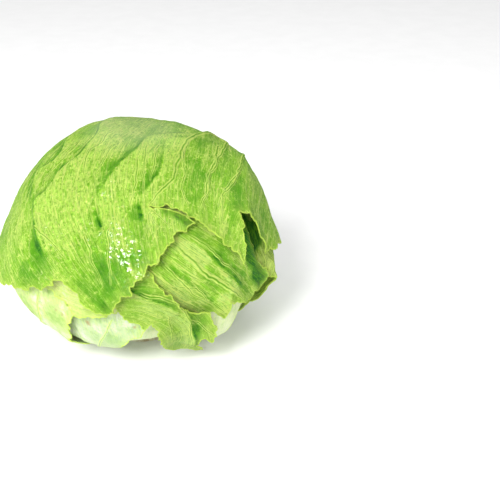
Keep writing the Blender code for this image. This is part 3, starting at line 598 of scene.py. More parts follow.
def ribs_of(ribs, rng):
    """Directions, heights and half widths of the points along ribs that wander a little."""
    taper = 0.45              # what is left of height and width at the tip, before it fades
    tip_share = 0.15          # share of the run over which the tip fades
    tip_height, tip_width = 0.3, 0.5
    slow_stray, slow_bend = 0.6, 9.0      # millimetres to a side, points to a bend
    quick_stray, quick_bend = 0.3, 3.7
    places, heights, widths = [], [], []
    for height, width, points in ribs:
        stray = [rng.uniform(-1, 1) for i in range(64)]
        run = list(route(points))
        for i, (place, gone) in enumerate(run):
            ahead = run[min(i + 1, len(run) - 1)][0] - run[max(i - 1, 0)][0]
            side = unit(np.cross(place, ahead))
            offset = (slow_stray * wobble(stray, i / slow_bend)
                      + quick_stray * wobble(stray, 20 + i / quick_bend))
            places.append(unit(place + side * offset / MEAN_RADIUS))
            tip = smooth((1.0 - gone) / tip_share)
            left = 1.0 - (1.0 - taper) * gone
            heights.append(height * left * (tip_height + (1.0 - tip_height) * tip))
            widths.append(width * left * (tip_width + (1.0 - tip_width) * tip))
    return np.array(places).reshape(-1, 3), np.array(heights), np.array(widths)


def route(points, spacing=LINE_SPACING):
    """Directions along a smooth line through the points, each with the share of the points gone by."""
    corners = [direction(lon, rise) for lon, rise in points]
    corners = [corners[0]] + corners + [corners[-1]]
    spans = len(corners) - 3
    for i in range(spans):
        start, end = corners[i + 1], corners[i + 2]
        pieces = max(1, math.ceil(np.linalg.norm(end - start) * MEAN_RADIUS / spacing))
        for j in range(pieces + (i == spans - 1)):
            t = j / pieces
            yield unit(spline(corners[i], start, end, corners[i + 3], t)), (i + t) / spans


def flat_map(leaf, d):
    """Map that keeps angles, from directions to a plane about the leaf's middle."""
    middle = direction(*leaf["middle"])
    across = unit(np.cross(middle, (0.21, 0.35, 0.91)))
    along = np.cross(middle, across)
    scale = 2.0 / (1.0 + d @ middle)
    return np.stack([(d @ across) * scale, (d @ along) * scale], axis=1)


def within_flat(edge, points):
    """Whether each point of the plane falls inside the closed outline."""
    inside = np.zeros(len(points), bool)
    for (ax, ay), (bx, by) in zip(edge, np.roll(edge, -1, axis=0)):
        if ay == by:
            continue
        crosses = (ay > points[:, 1]) != (by > points[:, 1])
        inside ^= crosses & (points[:, 0] < (bx - ax) * (points[:, 1] - ay) / (by - ay) + ax)
    return inside


def fan_of(leaf, d):
    """Where each direction lies in the leaf's fan of veins: turn round its source, and length."""
    source = direction(*leaf["fan"])
    foot = direction(leaf["ribs"][0][2][0][0], leaf["ribs"][0][2][0][1])
    back = unit(foot - source * (foot @ source))
    side = np.cross(source, back)
    length = angles(d, source)
    turn = np.arctan2(-(d @ side), -(d @ back))
    return turn, length


def turned(leaf, turn, length):
    """The turn in the fan, led on as the leaf's veins turn on their way."""
    first, second = leaf["turn"]
    return turn + first * length + second * length ** 2


def prepare_leaves():
    """Rims, ribs and phases of all leaves, with the same random numbers as the solids'."""
    leaves = [dict(leaf) for leaf in LEAVES]
    for number, leaf in enumerate(leaves):
        rng = random.Random(40 + number)
        leaf["places"], leaf["lifts"] = rim_of(leaf, rng)
        leaf["edge"] = flat_map(leaf, leaf["places"])
        leaf["phase"] = rng.uniform(0, 2 * math.pi)
        leaf["rim_places"], leaf["rim_lifts"], leaf["rim_run"] = fine_rim(leaf, rng)
        leaf["rim_edge"] = flat_map(leaf, leaf["rim_places"])
        leaf["rib_places"], leaf["rib_heights"], leaf["rib_widths"] = ribs_of(leaf["ribs"], rng)
        veins = [(strength, strength, points) for strength, points in VEINS.get(leaf["name"], ())]
        leaf["vein_places"], leaf["vein_strengths"], leaf["vein_widths"] = ribs_of(veins, rng)
    return leaves


# Surfaces


def patch(d, place, reach, amount):
    """Soft round patch about a place: the amount at its middle, little beyond its reach in millimetres."""
    away = angles(d, direction(*place)) * MEAN_RADIUS
    return amount * np.exp(-(away / reach) ** 2)


def head_radius(head, d):
    """Distance in millimetres from the head's centre to the skin that the leaves are wrapped round."""
    height = np.where(d[:, 2] > 0, head.rise, head.depth) / MM
    flat = (d[:, 0] ** 2 + d[:, 1] ** 2) / (head.radius / MM) ** 2
    radius = 1.0 / np.sqrt(flat + (d[:, 2] / height) ** 2)
    for wave, phase, size in SWELLS:
        radius += size * np.sin(d @ np.array(wave) + phase)
    for place, reach, size in DIMPLES:
        radius += patch(d, place, reach, size)
    return radius


def heart_radius(head, d):
    """Distance from the head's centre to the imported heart, each leaf of it a step below the last."""
    step_width, lobes, lobe_size = 0.10, 5.0, 0.06
    radius = head_radius(head, d)
    for number, (place, half_width) in enumerate(HEART_EDGES):
        middle = direction(*place)
        side = unit(np.cross(middle, (0.3, 0.2, 1.0)))
        bearing = np.arctan2(d @ np.cross(middle, side), d @ side)
        edge = math.radians(half_width) * (1.0 + lobe_size * np.sin(lobes * bearing + number))
        radius -= head.heart_step / MM * smooth((angles(d, middle) - edge) / step_width)
    return radius


def cover(leaf, d, margin, fade):
    """1 where the leaf lies and within a margin round it, falling to 0 over a further strip."""
    inside = within_flat(leaf["edge"], flat_map(leaf, d))
    away = nearest(d, leaf["rim_places"][::3])[1]
    return np.where(inside, 1.0, 1.0 - smooth((away - margin) / fade))


def rim_wave(run, length, stray, every, phase):
    """Wave from 0 to 1 along the rim, its crests moved by up to stray radians on a slower wave."""
    return 0.5 + 0.5 * np.sin(2 * math.pi * run / length + stray * np.sin(run / every) + phase)


def margin_relief(leaf, d, away, shape):
    """How far the free margin lifts and ruffles, in millimetres."""
    relief = np.zeros(len(d))
    near = np.flatnonzero(away < LIFT_WIDTH)
    places, lifts, run = leaf["rim_places"], leaf["rim_lifts"], leaf["rim_run"]
    free = np.clip(lifts, 0.0, 1.0)
    long_wave = rim_wave(run, RUFFLE_LENGTH, 0.0, 1.0, leaf["phase"])
    short_wave = rim_wave(run, CURL_LENGTH, 1.4, 9.0, leaf["phase"])
    tight_wave = rim_wave(run, TIGHT_LENGTH, 1.1, 5.0, 0.0)
    values = np.stack([lifts, shape.ruffle / MM * free * long_wave, shape.curl / MM * free * short_wave,
                       TIGHT_SHARE * shape.curl / MM * free * tight_wave], axis=1)
    powers = (1.5, 2.0, 3.0, 6.0)
    chunk = 4096
    for start in range(0, len(near), chunk):
        rows = near[start:start + chunk]
        gap = angles(d[rows], places.T) * MEAN_RADIUS
        weight = np.exp(-(gap - gap.min(axis=1, keepdims=True)) / SHARE_WIDTH)
        shared = weight @ values / weight.sum(axis=1, keepdims=True)
        edge = np.clip(1.0 - away[rows] / LIFT_WIDTH, 0.0, 1.0)
        relief[rows] = sum(shared[:, k] * edge ** power for k, power in enumerate(powers))
    return relief


def line_offset(places, index, gap, d):
    """Distance in millimetres from a line to each direction, positive on the line's left."""
    between_lines = 3.0   # a longer step from one point to the next leads to another line
    slack = 0.6           # past a line's end the plain distance counts, less this
    ahead = np.roll(places, -1, axis=0) - places
    for i in np.flatnonzero(np.linalg.norm(ahead, axis=1) * MEAN_RADIUS > between_lines):
        ahead[i] = ahead[i - 1]
    side = unit(np.cross(places, ahead))
    offset = np.sum(side[index] * d, axis=1) * MEAN_RADIUS
    return np.where(offset < 0.0, -1.0, 1.0) * np.maximum(np.abs(offset), gap - slack)


def line_folds(leaf, d):
    """Height in millimetres of the leaf's own folds, and how lit or shaded their sides are, 1 to -1."""
    spacing, crest = 0.8, 0.8
    start, end = 0.15, 0.25   # shares of the run over which a fold rises and ends
    shade_spread, light_spread, light_share = 2.6, 1.1, 0.8
    total = np.zeros(len(d))
    light = np.zeros(len(d))
    for height, shaded_width, lit_width, points in FOLDS.get(leaf["name"], ()):
        places, gone = (np.array(part) for part in zip(*route(points, spacing)))
        index, gap = nearest(d, places)
        shaded = line_offset(places, index, gap, d) < 0.0
        width = np.where(shaded, shaded_width, lit_width)
        spread = np.where(shaded, shade_spread * shaded_width, light_spread * lit_width)
        ends = smooth(gone[index] / start) * smooth((1.0 - gone[index]) / end)
        total += height * ends * np.exp(-(gap / width) ** 2)
        side = np.where(shaded, -1.0, light_share) * smooth(gap / crest)
        light += side * ends * min(1.0, abs(height)) * np.exp(-gap / spread)
    return total, np.clip(light, -1.0, 1.0)


def patches_of(patches, d):
    """Sum of soft patches, each a place, a reach in millimetres and an amount."""
    total = np.zeros(len(d))
    for place, reach, amount in patches:
        total += patch(d, place, reach, amount)
    return total


def fold_relief(leaf, d):
    """Soft pleats that run with the veins, from 0 to 1."""
    turn, length = fan_of(leaf, d)
    across = turned(leaf, turn, length)
    drift_size, drift_rate, drift_apart, apart = 0.6, 3.1, 2.3, 1.7
    smooth_foot = 0.35        # the pleats grow over this angle from the source of the fan
    total = np.zeros(len(d))
    for number, (rate, share) in enumerate(PLEATS):
        drift = drift_size * np.sin(drift_rate * length + drift_apart * number + leaf["phase"])
        wave = np.sin(rate * across + drift + apart * number + leaf["phase"])
        total += share * (0.5 + 0.5 * wave)
    return total * smooth(length / smooth_foot)


def double_crest(offset):
    """Height across a rib or vein, 0 beyond offsets of 1, with a narrow groove down its middle."""
    slope, groove = 0.6, 0.7
    close = np.clip(1.0 - np.abs(offset), 0.0, 1.0)
    return smooth(close / slope) - groove * smooth((close - slope) / (1.0 - slope))


def leaf_surface(leaves, number, d, head, shape):
    """Outer distance from the head's centre, and the distances and shares that the finish reads."""
    leaf = leaves[number]
    step, settle = shape.step / MM, shape.settle / MM
    radius = head_radius(head, d) + step
    for below in leaves[:number]:
        radius += step * cover(below, d, 0.0, settle)
    bare = np.ones(len(d))
    for above in leaves[number + 1:]:
        bare *= 1.0 - cover(above, d, shape.bare_margin / MM, shape.bare_fade / MM)
    away = nearest(d, leaf["rim_places"])[1]
    radius += bare * margin_relief(leaf, d, away, shape)
    index, gap = nearest(d, leaf["rib_places"])
    swell = np.clip(1.0 - (gap / leaf["rib_widths"][index]) ** 2, 0.0, 1.0) ** 2
    rib = line_offset(leaf["rib_places"], index, gap, d) / (leaf["rib_widths"][index] * shape.rib_width)
    radius += bare * leaf["rib_heights"][index] * (RIB_SWELL * swell + shape.rib_height * double_crest(rib))
    rib_near = bare * np.clip(LINE_REACH - np.abs(rib), 0.0, 1.0)
    vein, vein_near = np.full(len(d), LINE_FAR), np.zeros(len(d))
    if len(leaf["vein_places"]):
        index, gap = nearest(d, leaf["vein_places"])
        half_width = leaf["vein_widths"][index] * shape.vein_width / MM
        strength = leaf["vein_strengths"][index]
        vein = line_offset(leaf["vein_places"], index, gap, d) / half_width
        radius += bare * shape.vein_height / MM * double_crest(vein) * strength
        vein_near = bare * smooth(1.5 * strength) * np.clip(LINE_REACH - np.abs(vein), 0.0, 1.0)
    radius += bare * shape.fold / MM * fold_relief(leaf, d) * smooth(away / PLEAT_FADE)
    folds, light = line_folds(leaf, d)
    radius += bare * folds * smooth(away / FOLD_FADE)
    return radius, dict(margin=away, bare=bare, fold=light, rib=np.clip(rib, -LINE_FAR, LINE_FAR),
                        rib_near=rib_near, vein=np.clip(vein, -LINE_FAR, LINE_FAR), vein_near=vein_near)


# Mesh editing


def deselect_all():
    for thing in bpy.context.selected_objects:
        thing.select_set(False)


def choose(piece):
    """Selects the piece alone and makes it the active one."""
    deselect_all()
    piece.select_set(True)
    bpy.context.view_layer.objects.active = piece


def edit_with(piece, kind, chosen):
    """Enters edit mode with only the chosen vertices or faces selected."""
    mesh = piece.data
    for group in (mesh.vertices, mesh.edges, mesh.polygons):
        group.foreach_set("select", np.zeros(len(group), bool))
    group = mesh.vertices if kind == "VERT" else mesh.polygons
    group.foreach_set("select", np.asarray(chosen, bool))
    bpy.context.tool_settings.mesh_select_mode = (kind == "VERT", False, kind == "FACE")
    bpy.ops.object.mode_set(mode="EDIT")


def leave_edit():
    bpy.ops.object.mode_set(mode="OBJECT")


def refine(piece, faces, cuts):
    """Cuts the chosen faces finer, and leaves only triangles."""
    edit_with(piece, "FACE", faces)
    bpy.ops.mesh.subdivide(number_cuts=cuts)
    bpy.ops.mesh.select_all(action="SELECT")
    bpy.ops.mesh.quads_convert_to_tris()
    leave_edit()


def points_of(piece):
    """The piece's vertices in millimetres, about its own origin."""
    co = np.empty(len(piece.data.vertices) * 3)
    piece.data.vertices.foreach_get("co", co)
    return co.reshape(-1, 3) / MM


def move_points(piece, points):
    piece.data.vertices.foreach_set("co", (points * MM).ravel())
    piece.data.update()


def corners_of(piece):
    """The vertex numbers of a mesh of triangles, three to a row."""
    corners = np.empty(len(piece.data.loops), int)
    piece.data.loops.foreach_get("vertex_index", corners)
    return corners.reshape(-1, 3)


def add_share(piece, name, values):
    """Stores one number a vertex for the material to read."""
    attribute = piece.data.attributes.new(name, "FLOAT", "POINT")
    attribute.data.foreach_set("value", np.asarray(values, np.float32))


def add_vein_map(piece, turn, length):
    """UV map with the turn round the veins' source across and the length from it along."""
    corners = corners_of(piece)
    u = turn[corners]
    wraps = u.max(axis=1) - u.min(axis=1) > math.pi
    u[wraps] = np.where(u[wraps] < 0.0, u[wraps] + 2 * math.pi, u[wraps])
    layer = piece.data.uv_layers.new(name="veins")
    layer.data.foreach_set("uv", np.stack([u, length[corners]], axis=2).ravel())


def apply_modifier(piece, kind, name, **settings):
    modifier = piece.modifiers.new(name, kind)
    for key, value in settings.items():
        setattr(modifier, key, value)
    bpy.ops.object.modifier_apply(modifier=modifier.name)


def settle_piece(piece, name, material, body="root"):
    """Puts the piece's place into its mesh, and gives it its name, finish and body."""
    choose(piece)
    bpy.ops.object.transform_apply(location=True, rotation=True, scale=True)
    piece.name = name
    piece.data.name = name
    piece.data.materials.clear()
    piece.data.materials.append(material)
    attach(piece, body)


def snap_to_rim(leaf, d, reach):
    """Moves the points that are nearest to the rim on to it, so that no edge crosses it."""
    rim = leaf["rim_places"]
    index, away = nearest(d, rim)
    close = away < reach
    index = index[close]
    best = np.full(len(index), np.inf)
    place = d[close].copy()
    for step in (-1, 0):
        start, end = rim[(index + step) % len(rim)], rim[(index + step + 1) % len(rim)]
        run = end - start
        t = np.clip(np.sum((d[close] - start) * run, axis=1) / np.sum(run * run, axis=1), 0.0, 1.0)
        foot = unit(start + run * t[:, None])
        gap = np.linalg.norm(foot - d[close], axis=1)
        place[gap < best] = foot[gap < best]
        best = np.minimum(best, gap)
    d = d.copy()
    d[close] = place
    return d


def cut_sheet(leaf, detail, head):
    """A sphere cut to the leaf's rim, finer along the rim, the ribs and the veins."""
    rim_cuts = 3
    kept_strip, rim_strip = 2.0, 0.7   # along the rim, in sides of the first triangles
    snap_share = 0.62         # of the side of a cut triangle
    line_strip = 2.5          # to either side of a rib or vein
    doubled, thin = 0.06 * MM, 0.02 * MM
    deselect_all()
    bpy.ops.mesh.primitive_ico_sphere_add(
        subdivisions=detail, radius=MEAN_RADIUS * MM, calc_uvs=False,
        location=(0.0, 0.0, head.centre_height))
    piece = bpy.context.active_object
    area = 4 * math.pi * MEAN_RADIUS ** 2 / len(piece.data.polygons)
    grid = math.sqrt(area / 0.433)   # side of a triangle with that area
    d = unit(points_of(piece))
    inside = within_flat(leaf["edge"], flat_map(leaf, d))
    away = nearest(d, leaf["rim_places"])[1]
    edit_with(piece, "VERT", ~inside & (away > kept_strip * grid))
    bpy.ops.mesh.delete(type="VERT")
    leave_edit()
    d = unit(points_of(piece))
    away = nearest(d, leaf["rim_places"])[1]
    refine(piece, away[corners_of(piece)].min(axis=1) < rim_strip * grid, rim_cuts)
    d = unit(points_of(piece))
    lines = np.vstack([leaf["rib_places"], leaf["vein_places"]])
    by_line = nearest(d, lines)[1] < line_strip
    by_rim = nearest(d, leaf["rim_places"])[1] < kept_strip * grid
    refine(piece, (by_line & ~by_rim)[corners_of(piece)].all(axis=1), 1)
    d = snap_to_rim(leaf, unit(points_of(piece)), snap_share * grid / (rim_cuts + 1))
    move_points(piece, d * MEAN_RADIUS)
    middles = unit(d[corners_of(piece)].mean(axis=1))
    outside = ~within_flat(leaf["rim_edge"], flat_map(leaf, middles))
    edit_with(piece, "FACE", outside)
    bpy.ops.mesh.delete(type="FACE")
    bpy.ops.mesh.select_all(action="SELECT")
    bpy.ops.mesh.remove_doubles(threshold=doubled)
    bpy.ops.mesh.dissolve_degenerate(threshold=thin)
    bpy.ops.mesh.delete_loose()
    bpy.ops.mesh.select_all(action="SELECT")
    bpy.ops.mesh.quads_convert_to_tris()
    leave_edit()
    return piece


def pucker_sheet(piece, bare, shape):
    """Raises small blisters where no other leaf lies over this one."""
    least = 0.01
    group = piece.vertex_groups.new(name="bare")
    for index in np.flatnonzero(bare > least).tolist():
        group.add([index], float(bare[index]), "REPLACE")
    blisters = bpy.data.textures.new("blisters", "CLOUDS")
    blisters.noise_scale = shape.pucker_size
    blisters.noise_depth = 2
    apply_modifier(piece, "DISPLACE", "Blisters", texture=blisters, strength=shape.pucker,
                   mid_level=0.3, vertex_group="bare")
    piece.vertex_groups.clear()


def make_leaf(leaves, number, head, shape, colours):
    """One leaf: a sheet cut to its rim, wrapped over the leaves below it and given its thickness."""
    leaf = leaves[number]
    piece = cut_sheet(leaf, shape.detail, head)
    d = unit(points_of(piece))
    radius, shares = leaf_surface(leaves, number, d, head, shape)
    move_points(piece, d * radius[:, None])
    rise = np.degrees(angles(d, np.array((0.0, 0.0, -1.0))))
    foot_end, foot_fade, crown_start, crown_fade = 25.0, 45.0, 146.0, 22.0
    pale_foot = 1.0 - smooth((rise - foot_end) / foot_fade)
    pale_crown = 0.8 * smooth((rise - crown_start) / crown_fade)
    shares["base"] = pale_foot + pale_crown
    for name, table, limits in (("tone", TONES_AND_PAINTED_SHADE, TONE_LIMITS), ("blemish", BLEMISHES, (0.0, 1.0)),
                                ("glint", GLINTS, (0.0, 1.0))):
        shares[name] = np.clip(patches_of(table.get(leaf["name"], ()), d), *limits)
    for name, values in shares.items():
        add_share(piece, name, values)
    turn, length = fan_of(leaf, d)
    add_vein_map(piece, turned(leaf, turn, length), length)
    choose(piece)
    pucker_sheet(piece, shares["bare"], shape)
    apply_modifier(piece, "SOLIDIFY", "Blade", thickness=shape.thickness, offset=-1.0)
    bpy.ops.object.shade_smooth_by_angle(angle=SMOOTH_ANGLE)
    settle_piece(piece, leaf["name"] + "_blade", leaf_material(leaf, colours))
    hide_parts(leaf["name"])


def make_leaves(scene, word):
    """The leaves with the word in their names."""
    leaves = prepare_leaves()
    for number, leaf in enumerate(leaves):
        if word in leaf["name"]:
            make_leaf(leaves, number, scene.lettuce_head, scene.lettuce_leaf, scene.lettuce_colours)


# Materials


class Recipe:
    """A material's node tree, with short calls to add and join its nodes."""

    def __init__(self, name, roughness, specular=0.5):
        self.material = bpy.data.materials.new(name)
        self.material.use_nodes = True
        self.nodes = self.material.node_tree.nodes
        self.links = self.material.node_tree.links
        self.shader = self.nodes["Principled BSDF"]
        self.shader.inputs["Roughness"].default_value = roughness
        self.shader.inputs["Specular IOR Level"].default_value = specular

    def add(self, kind, inputs=(), **settings):
        """Adds a node. Each input is (socket, value), the value a number, a tuple or another socket."""
        node = self.nodes.new(kind)
        for key, value in settings.items():
            setattr(node, key, value)
        for socket, value in inputs:
            if isinstance(value, bpy.types.NodeSocket):
                self.links.new(value, node.inputs[socket])
            else:
                node.inputs[socket].default_value = value
        return node

    def math(self, operation, first, second=0.5):
        return self.add("ShaderNodeMath", ((0, first), (1, second)), operation=operation).outputs[0]

    def times(self, first, second):
        return self.math("MULTIPLY", first, second)

    def plus(self, first, second):
        return self.math("ADD", first, second)

    def place(self):
        """Place on the piece, in metres."""
        return self.add("ShaderNodeTexCoord").outputs["Object"]

    def ranged(self, value, low, high, to_low=0.0, to_high=1.0):
        """The value's place between low and high, eased at both ends."""
        node = self.add("ShaderNodeMapRange", (("Value", value), ("From Min", low), ("From Max", high),
                                               ("To Min", to_low), ("To Max", to_high)),
                        interpolation_type="SMOOTHSTEP")
        return node.outputs["Result"]

    def stretched(self, vector, x, y, z=1.0):
        """The vector with each of its parts multiplied."""
        node = self.add("ShaderNodeVectorMath", ((0, vector), (1, (x, y, z))), operation="MULTIPLY")
        return node.outputs["Vector"]

    def noise(self, vector, scale, detail, roughness=0.55):
        node = self.add("ShaderNodeTexNoise", (("Vector", vector), ("Scale", scale), ("Detail", detail),
                                               ("Roughness", roughness)))
        return node.outputs["Fac"]

    def cells(self, vector, scale):
        """Distance from the edges of a net of cells."""
        node = self.add("ShaderNodeTexVoronoi", (("Vector", vector), ("Scale", scale)),
                        feature="DISTANCE_TO_EDGE")
        return node.outputs["Distance"]

    def share(self, name):
        """What add_share stored under this name."""
        return self.add("ShaderNodeAttribute", attribute_name=name).outputs["Fac"]

    def mixed(self, factor, first, second):
        """Colour from the first to the second. A colour is an RGB tuple or a socket."""
        pair = [(*c, 1.0) if isinstance(c, tuple) else c for c in (first, second)]
        node = self.add("ShaderNodeMix", ((0, factor), (6, pair[0]), (7, pair[1])), data_type="RGBA")
        return node.outputs[2]

    def bump(self, height, depth, socket="Normal"):
        """Joins the height to the shader as bumps of that depth in metres."""
        node = self.add("ShaderNodeBump", (("Height", height), ("Distance", depth)))
        self.links.new(node.outputs["Normal"], self.shader.inputs[socket])

    def paint(self, colour):
        self.links.new(colour, self.shader.inputs["Base Color"])


def tinted(colour, tint):
    """The colour with its red, green and blue multiplied."""
    return tuple(min(1.0, c * factor) for c, factor in zip(colour, tint))


def shade(colour, factor):
    """The colour made darker or lighter."""
    return tinted(colour, (factor,) * 3)


def vein_lines(recipe, fan, across, along, width):
    """Wandering lines that run with the veins, and the shaded groove on one side of each."""
    value = recipe.noise(recipe.stretched(fan, across, along), 1.0, 2.0, 0.5)
    level = 0.5
    crest = recipe.ranged(recipe.math("ABSOLUTE", recipe.math("SUBTRACT", value, level)), width, 0.0)
    beside = recipe.math("SUBTRACT", value, level - 1.7 * width)
    groove = recipe.ranged(recipe.math("ABSOLUTE", beside), 1.2 * width, 0.0)
    return crest, groove


def leaf_material(leaf, colours):
    """Green blade with lines that fan out, a net of small veins, puckers, pale ribs and margin."""
    kind = leaf["finish"]
    streaks, net, pucker, pale = FINISHES[kind]
    blade, vein_colour, rib_colour, margin_colour = (
        tuple(getattr(colours, name)) for name in (kind, "vein", "rib", "margin"))
    deep, light, painted_shade = (tinted(blade, tint) for tint in (DEEP_TINT, LIGHT_TINT, PAINTED_SHADE_TINT))
    recipe = Recipe(leaf["name"], roughness=0.6, specular=0.1)
    for socket, value in (("Subsurface Weight", 0.1), ("Subsurface Radius", (0.7, 1.0, 0.3)),
                          ("Subsurface Scale", 1.5 * MM), ("Coat Roughness", 0.06)):
        recipe.shader.inputs[socket].default_value = value
    place = recipe.place()
    fan = recipe.add("ShaderNodeUVMap", uv_map="veins").outputs["UV"]
    margin, base, tone, fold, glint = (
        recipe.share(name) for name in ("margin", "base", "tone", "fold", "glint"))

    # Film of water with drops, strongest in the wet places
    drops = recipe.ranged(recipe.noise(place, scale=560.0, detail=1.0), 0.5, 0.58)
    damp = 0.05
    coat = recipe.times(recipe.plus(glint, damp), drops)
    recipe.links.new(coat, recipe.shader.inputs["Coat Weight"])
    recipe.bump(recipe.noise(place, scale=480.0, detail=1.0), 0.5 * MM, "Coat Normal")

    # Green of the blade, from its darkest places at -2 to its lightest at 1.1. The tone patches bring
    # painted shade and painted light as well as paler and deeper green.
    # Broad bands along the veins, paler and deeper green at random, are painted light and shade of the
    # pleats.
    streak_noise = recipe.noise(recipe.stretched(fan, 8.0, 1.1), scale=1.0, detail=2.0)
    painted_pleat_bands = recipe.ranged(streak_noise, 0.32, 0.68, -0.5, 0.5)
    blotch_noise = recipe.noise(place, scale=90.0, detail=4.0, roughness=0.6)
    blotches = recipe.ranged(blotch_noise, 0.3, 0.7, -0.55, 0.55)
    # The folds' share paints each fold's shaded side deeper green and its lit side paler: painted shade and
    # painted light.
    fold_shade_strength = 2.1
    patches = recipe.plus(recipe.plus(tone, recipe.times(fold, fold_shade_strength)),
                          recipe.plus(recipe.times(painted_pleat_bands, streaks), blotches))
    colour = recipe.mixed(recipe.ranged(patches, -1.0, 0.0), deep, blade)
    colour = recipe.mixed(recipe.ranged(patches, 0.0, 1.1), colour, light)
    # Below -1 the colour turns to painted shade.
    colour = recipe.mixed(recipe.ranged(patches, -1.0, -2.0), colour, painted_shade)

    # Small lines, net and puckers. The groove beside each line and the darker pits are painted shade. The
    # pale dots are partly the puckers' own paler green and partly painted glints.
    wide, wide_groove_shade = vein_lines(recipe, fan, across=13.0, along=1.3, width=0.016)
    thin, thin_groove_shade = vein_lines(recipe, fan, across=34.0, along=3.2, width=0.030)
    fibre = recipe.noise(recipe.stretched(fan, 80.0, 7.0), scale=1.0, detail=3.0, roughness=0.7)
    light_fibre = recipe.ranged(fibre, 0.51, 0.64)
    dark_fibre = recipe.ranged(fibre, 0.49, 0.36)
    shift = recipe.add("ShaderNodeTexNoise", (("Vector", place), ("Scale", 260.0))).outputs["Color"]
    shift = recipe.stretched(shift, 2.2 * MM, 2.2 * MM)
    warped = recipe.add("ShaderNodeVectorMath", ((0, place), (1, shift)), operation="ADD").outputs["Vector"]
    cell = recipe.cells(warped, 300.0)
    net_line = recipe.ranged(cell, 0.11, 0.0)
    grain = recipe.noise(place, scale=620.0, detail=2.0, roughness=0.6)
    dots = recipe.ranged(grain, 0.57, 0.67)
    pits = recipe.ranged(grain, 0.44, 0.34)
    paler = recipe.ranged(patches, -2.0, 0.9, 0.0, 1.3)
    for factor, line in ((0.65 * streaks, dark_fibre), (0.85 * streaks, wide_groove_shade),
                         (0.7 * streaks, thin_groove_shade), (0.75 * pucker, pits)):
        colour = recipe.mixed(recipe.times(line, factor), colour, deep)
    for factor, line in ((1.0 * streaks, wide), (0.8 * streaks, thin), (0.5 * streaks, light_fibre),
                         (0.7 * net, net_line), (0.8 * pucker, dots)):
        strength = recipe.times(paler, factor)
        colour = recipe.mixed(recipe.times(line, strength), colour, vein_colour)

    # Ribs and single veins: two pale rails with a deeper groove between them, its deeper green painted
    # shade
    worn = recipe.ranged(recipe.noise(place, scale=170.0, detail=2.0), 0.35, 0.6, 0.5, 1.0)
    for name in ("vein", "rib"):
        near = recipe.share(name + "_near")
        offset = recipe.math("ABSOLUTE", recipe.share(name))
        rails = recipe.times(recipe.ranged(offset, 1.1, 0.75), recipe.ranged(offset, 0.2, 0.5))
        shown = recipe.times(near, worn)
        colour = recipe.mixed(recipe.times(rails, shown), colour, vein_colour)
        middle = recipe.times(recipe.ranged(offset, 0.35, 0.1, 0.0, 0.75), near)
        colour = recipe.mixed(middle, colour, deep)

    # Pale base, specks and margin. The margin is paler within 6 mm of the rim. The brighter line right at
    # the rim is partly the leaf's own pale edge and partly a painted highlight where the rim catches the
    # light.
    colour = recipe.mixed(recipe.times(base, pale), colour, rib_colour)
    colour = recipe.mixed(recipe.share("blemish"), colour, tuple(colours.blemish))
    colour = recipe.mixed(recipe.ranged(margin, 6.0, 0.0, 0.0, 0.25), colour, margin_colour)
    colour = recipe.mixed(recipe.ranged(margin, 0.8, 0.2, 0.0, 0.85), colour, shade(margin_colour, 1.15))
    recipe.paint(colour)

    height = recipe.times(recipe.ranged(cell, 0.0, 0.5), 0.9 * pucker)
    for line, share in ((wide, 0.7 * streaks), (thin, 0.6 * streaks), (light_fibre, 0.5 * streaks),
                        (dots, 0.5 * pucker)):
        height = recipe.plus(height, recipe.times(line, share))
    recipe.bump(height, 0.8 * MM)
    return recipe.material


def heart_material(colours):
    """Pale packed leaves with faint blotches."""
    recipe = Recipe("heart_leaves", roughness=0.5)
    place = recipe.place()
    heart = tuple(colours.heart)
    blotch = recipe.ranged(recipe.noise(place, scale=45.0, detail=4.0), 0.3, 0.7)
    colour = recipe.mixed(blotch, shade(heart, 0.85), shade(heart, 1.15))
    net = recipe.ranged(recipe.cells(place, 240.0), 0.08, 0.0, 0.0, 0.4)
    recipe.paint(recipe.mixed(net, colour, tuple(colours.vein)))
    recipe.bump(recipe.noise(place, scale=320.0, detail=3.0), 0.5 * MM)
    return recipe.material


def stem_material(colours):
    """Pale green-brown skin, with browned rings on the cut face."""
    recipe = Recipe("cut_stem", roughness=0.7)
    place = recipe.place()
    stem, browned = tuple(colours.stem), tuple(colours.browned)
    blotch = recipe.ranged(recipe.noise(place, scale=130.0, detail=4.0, roughness=0.65), 0.38, 0.66)
    colour = recipe.mixed(blotch, shade(stem, 1.1), browned)
    out = recipe.add("ShaderNodeVectorMath", ((0, recipe.stretched(place, 1.0, 1.0, 0.0)),),
                     operation="LENGTH").outputs["Value"]
    rings = 2600.0
    ring = recipe.ranged(recipe.math("SINE", recipe.times(out, rings)), -0.2, 1.0, 0.0, 0.35)
    recipe.paint(recipe.mixed(ring, colour, shade(browned, 0.8)))
    recipe.bump(recipe.noise(place, scale=420.0, detail=5.0, roughness=0.7), 0.8 * MM)
    return recipe.material


def floor_material():
    """Plain white paper with the faintest tooth."""
    recipe = Recipe("white_floor", roughness=0.9, specular=0.1)
    grain = recipe.ranged(recipe.noise(recipe.place(), scale=40.0, detail=2.0), 0.3, 0.7)
    recipe.paint(recipe.mixed(grain, (0.93, 0.93, 0.93), (0.95, 0.95, 0.95)))
    return recipe.material


# Operators


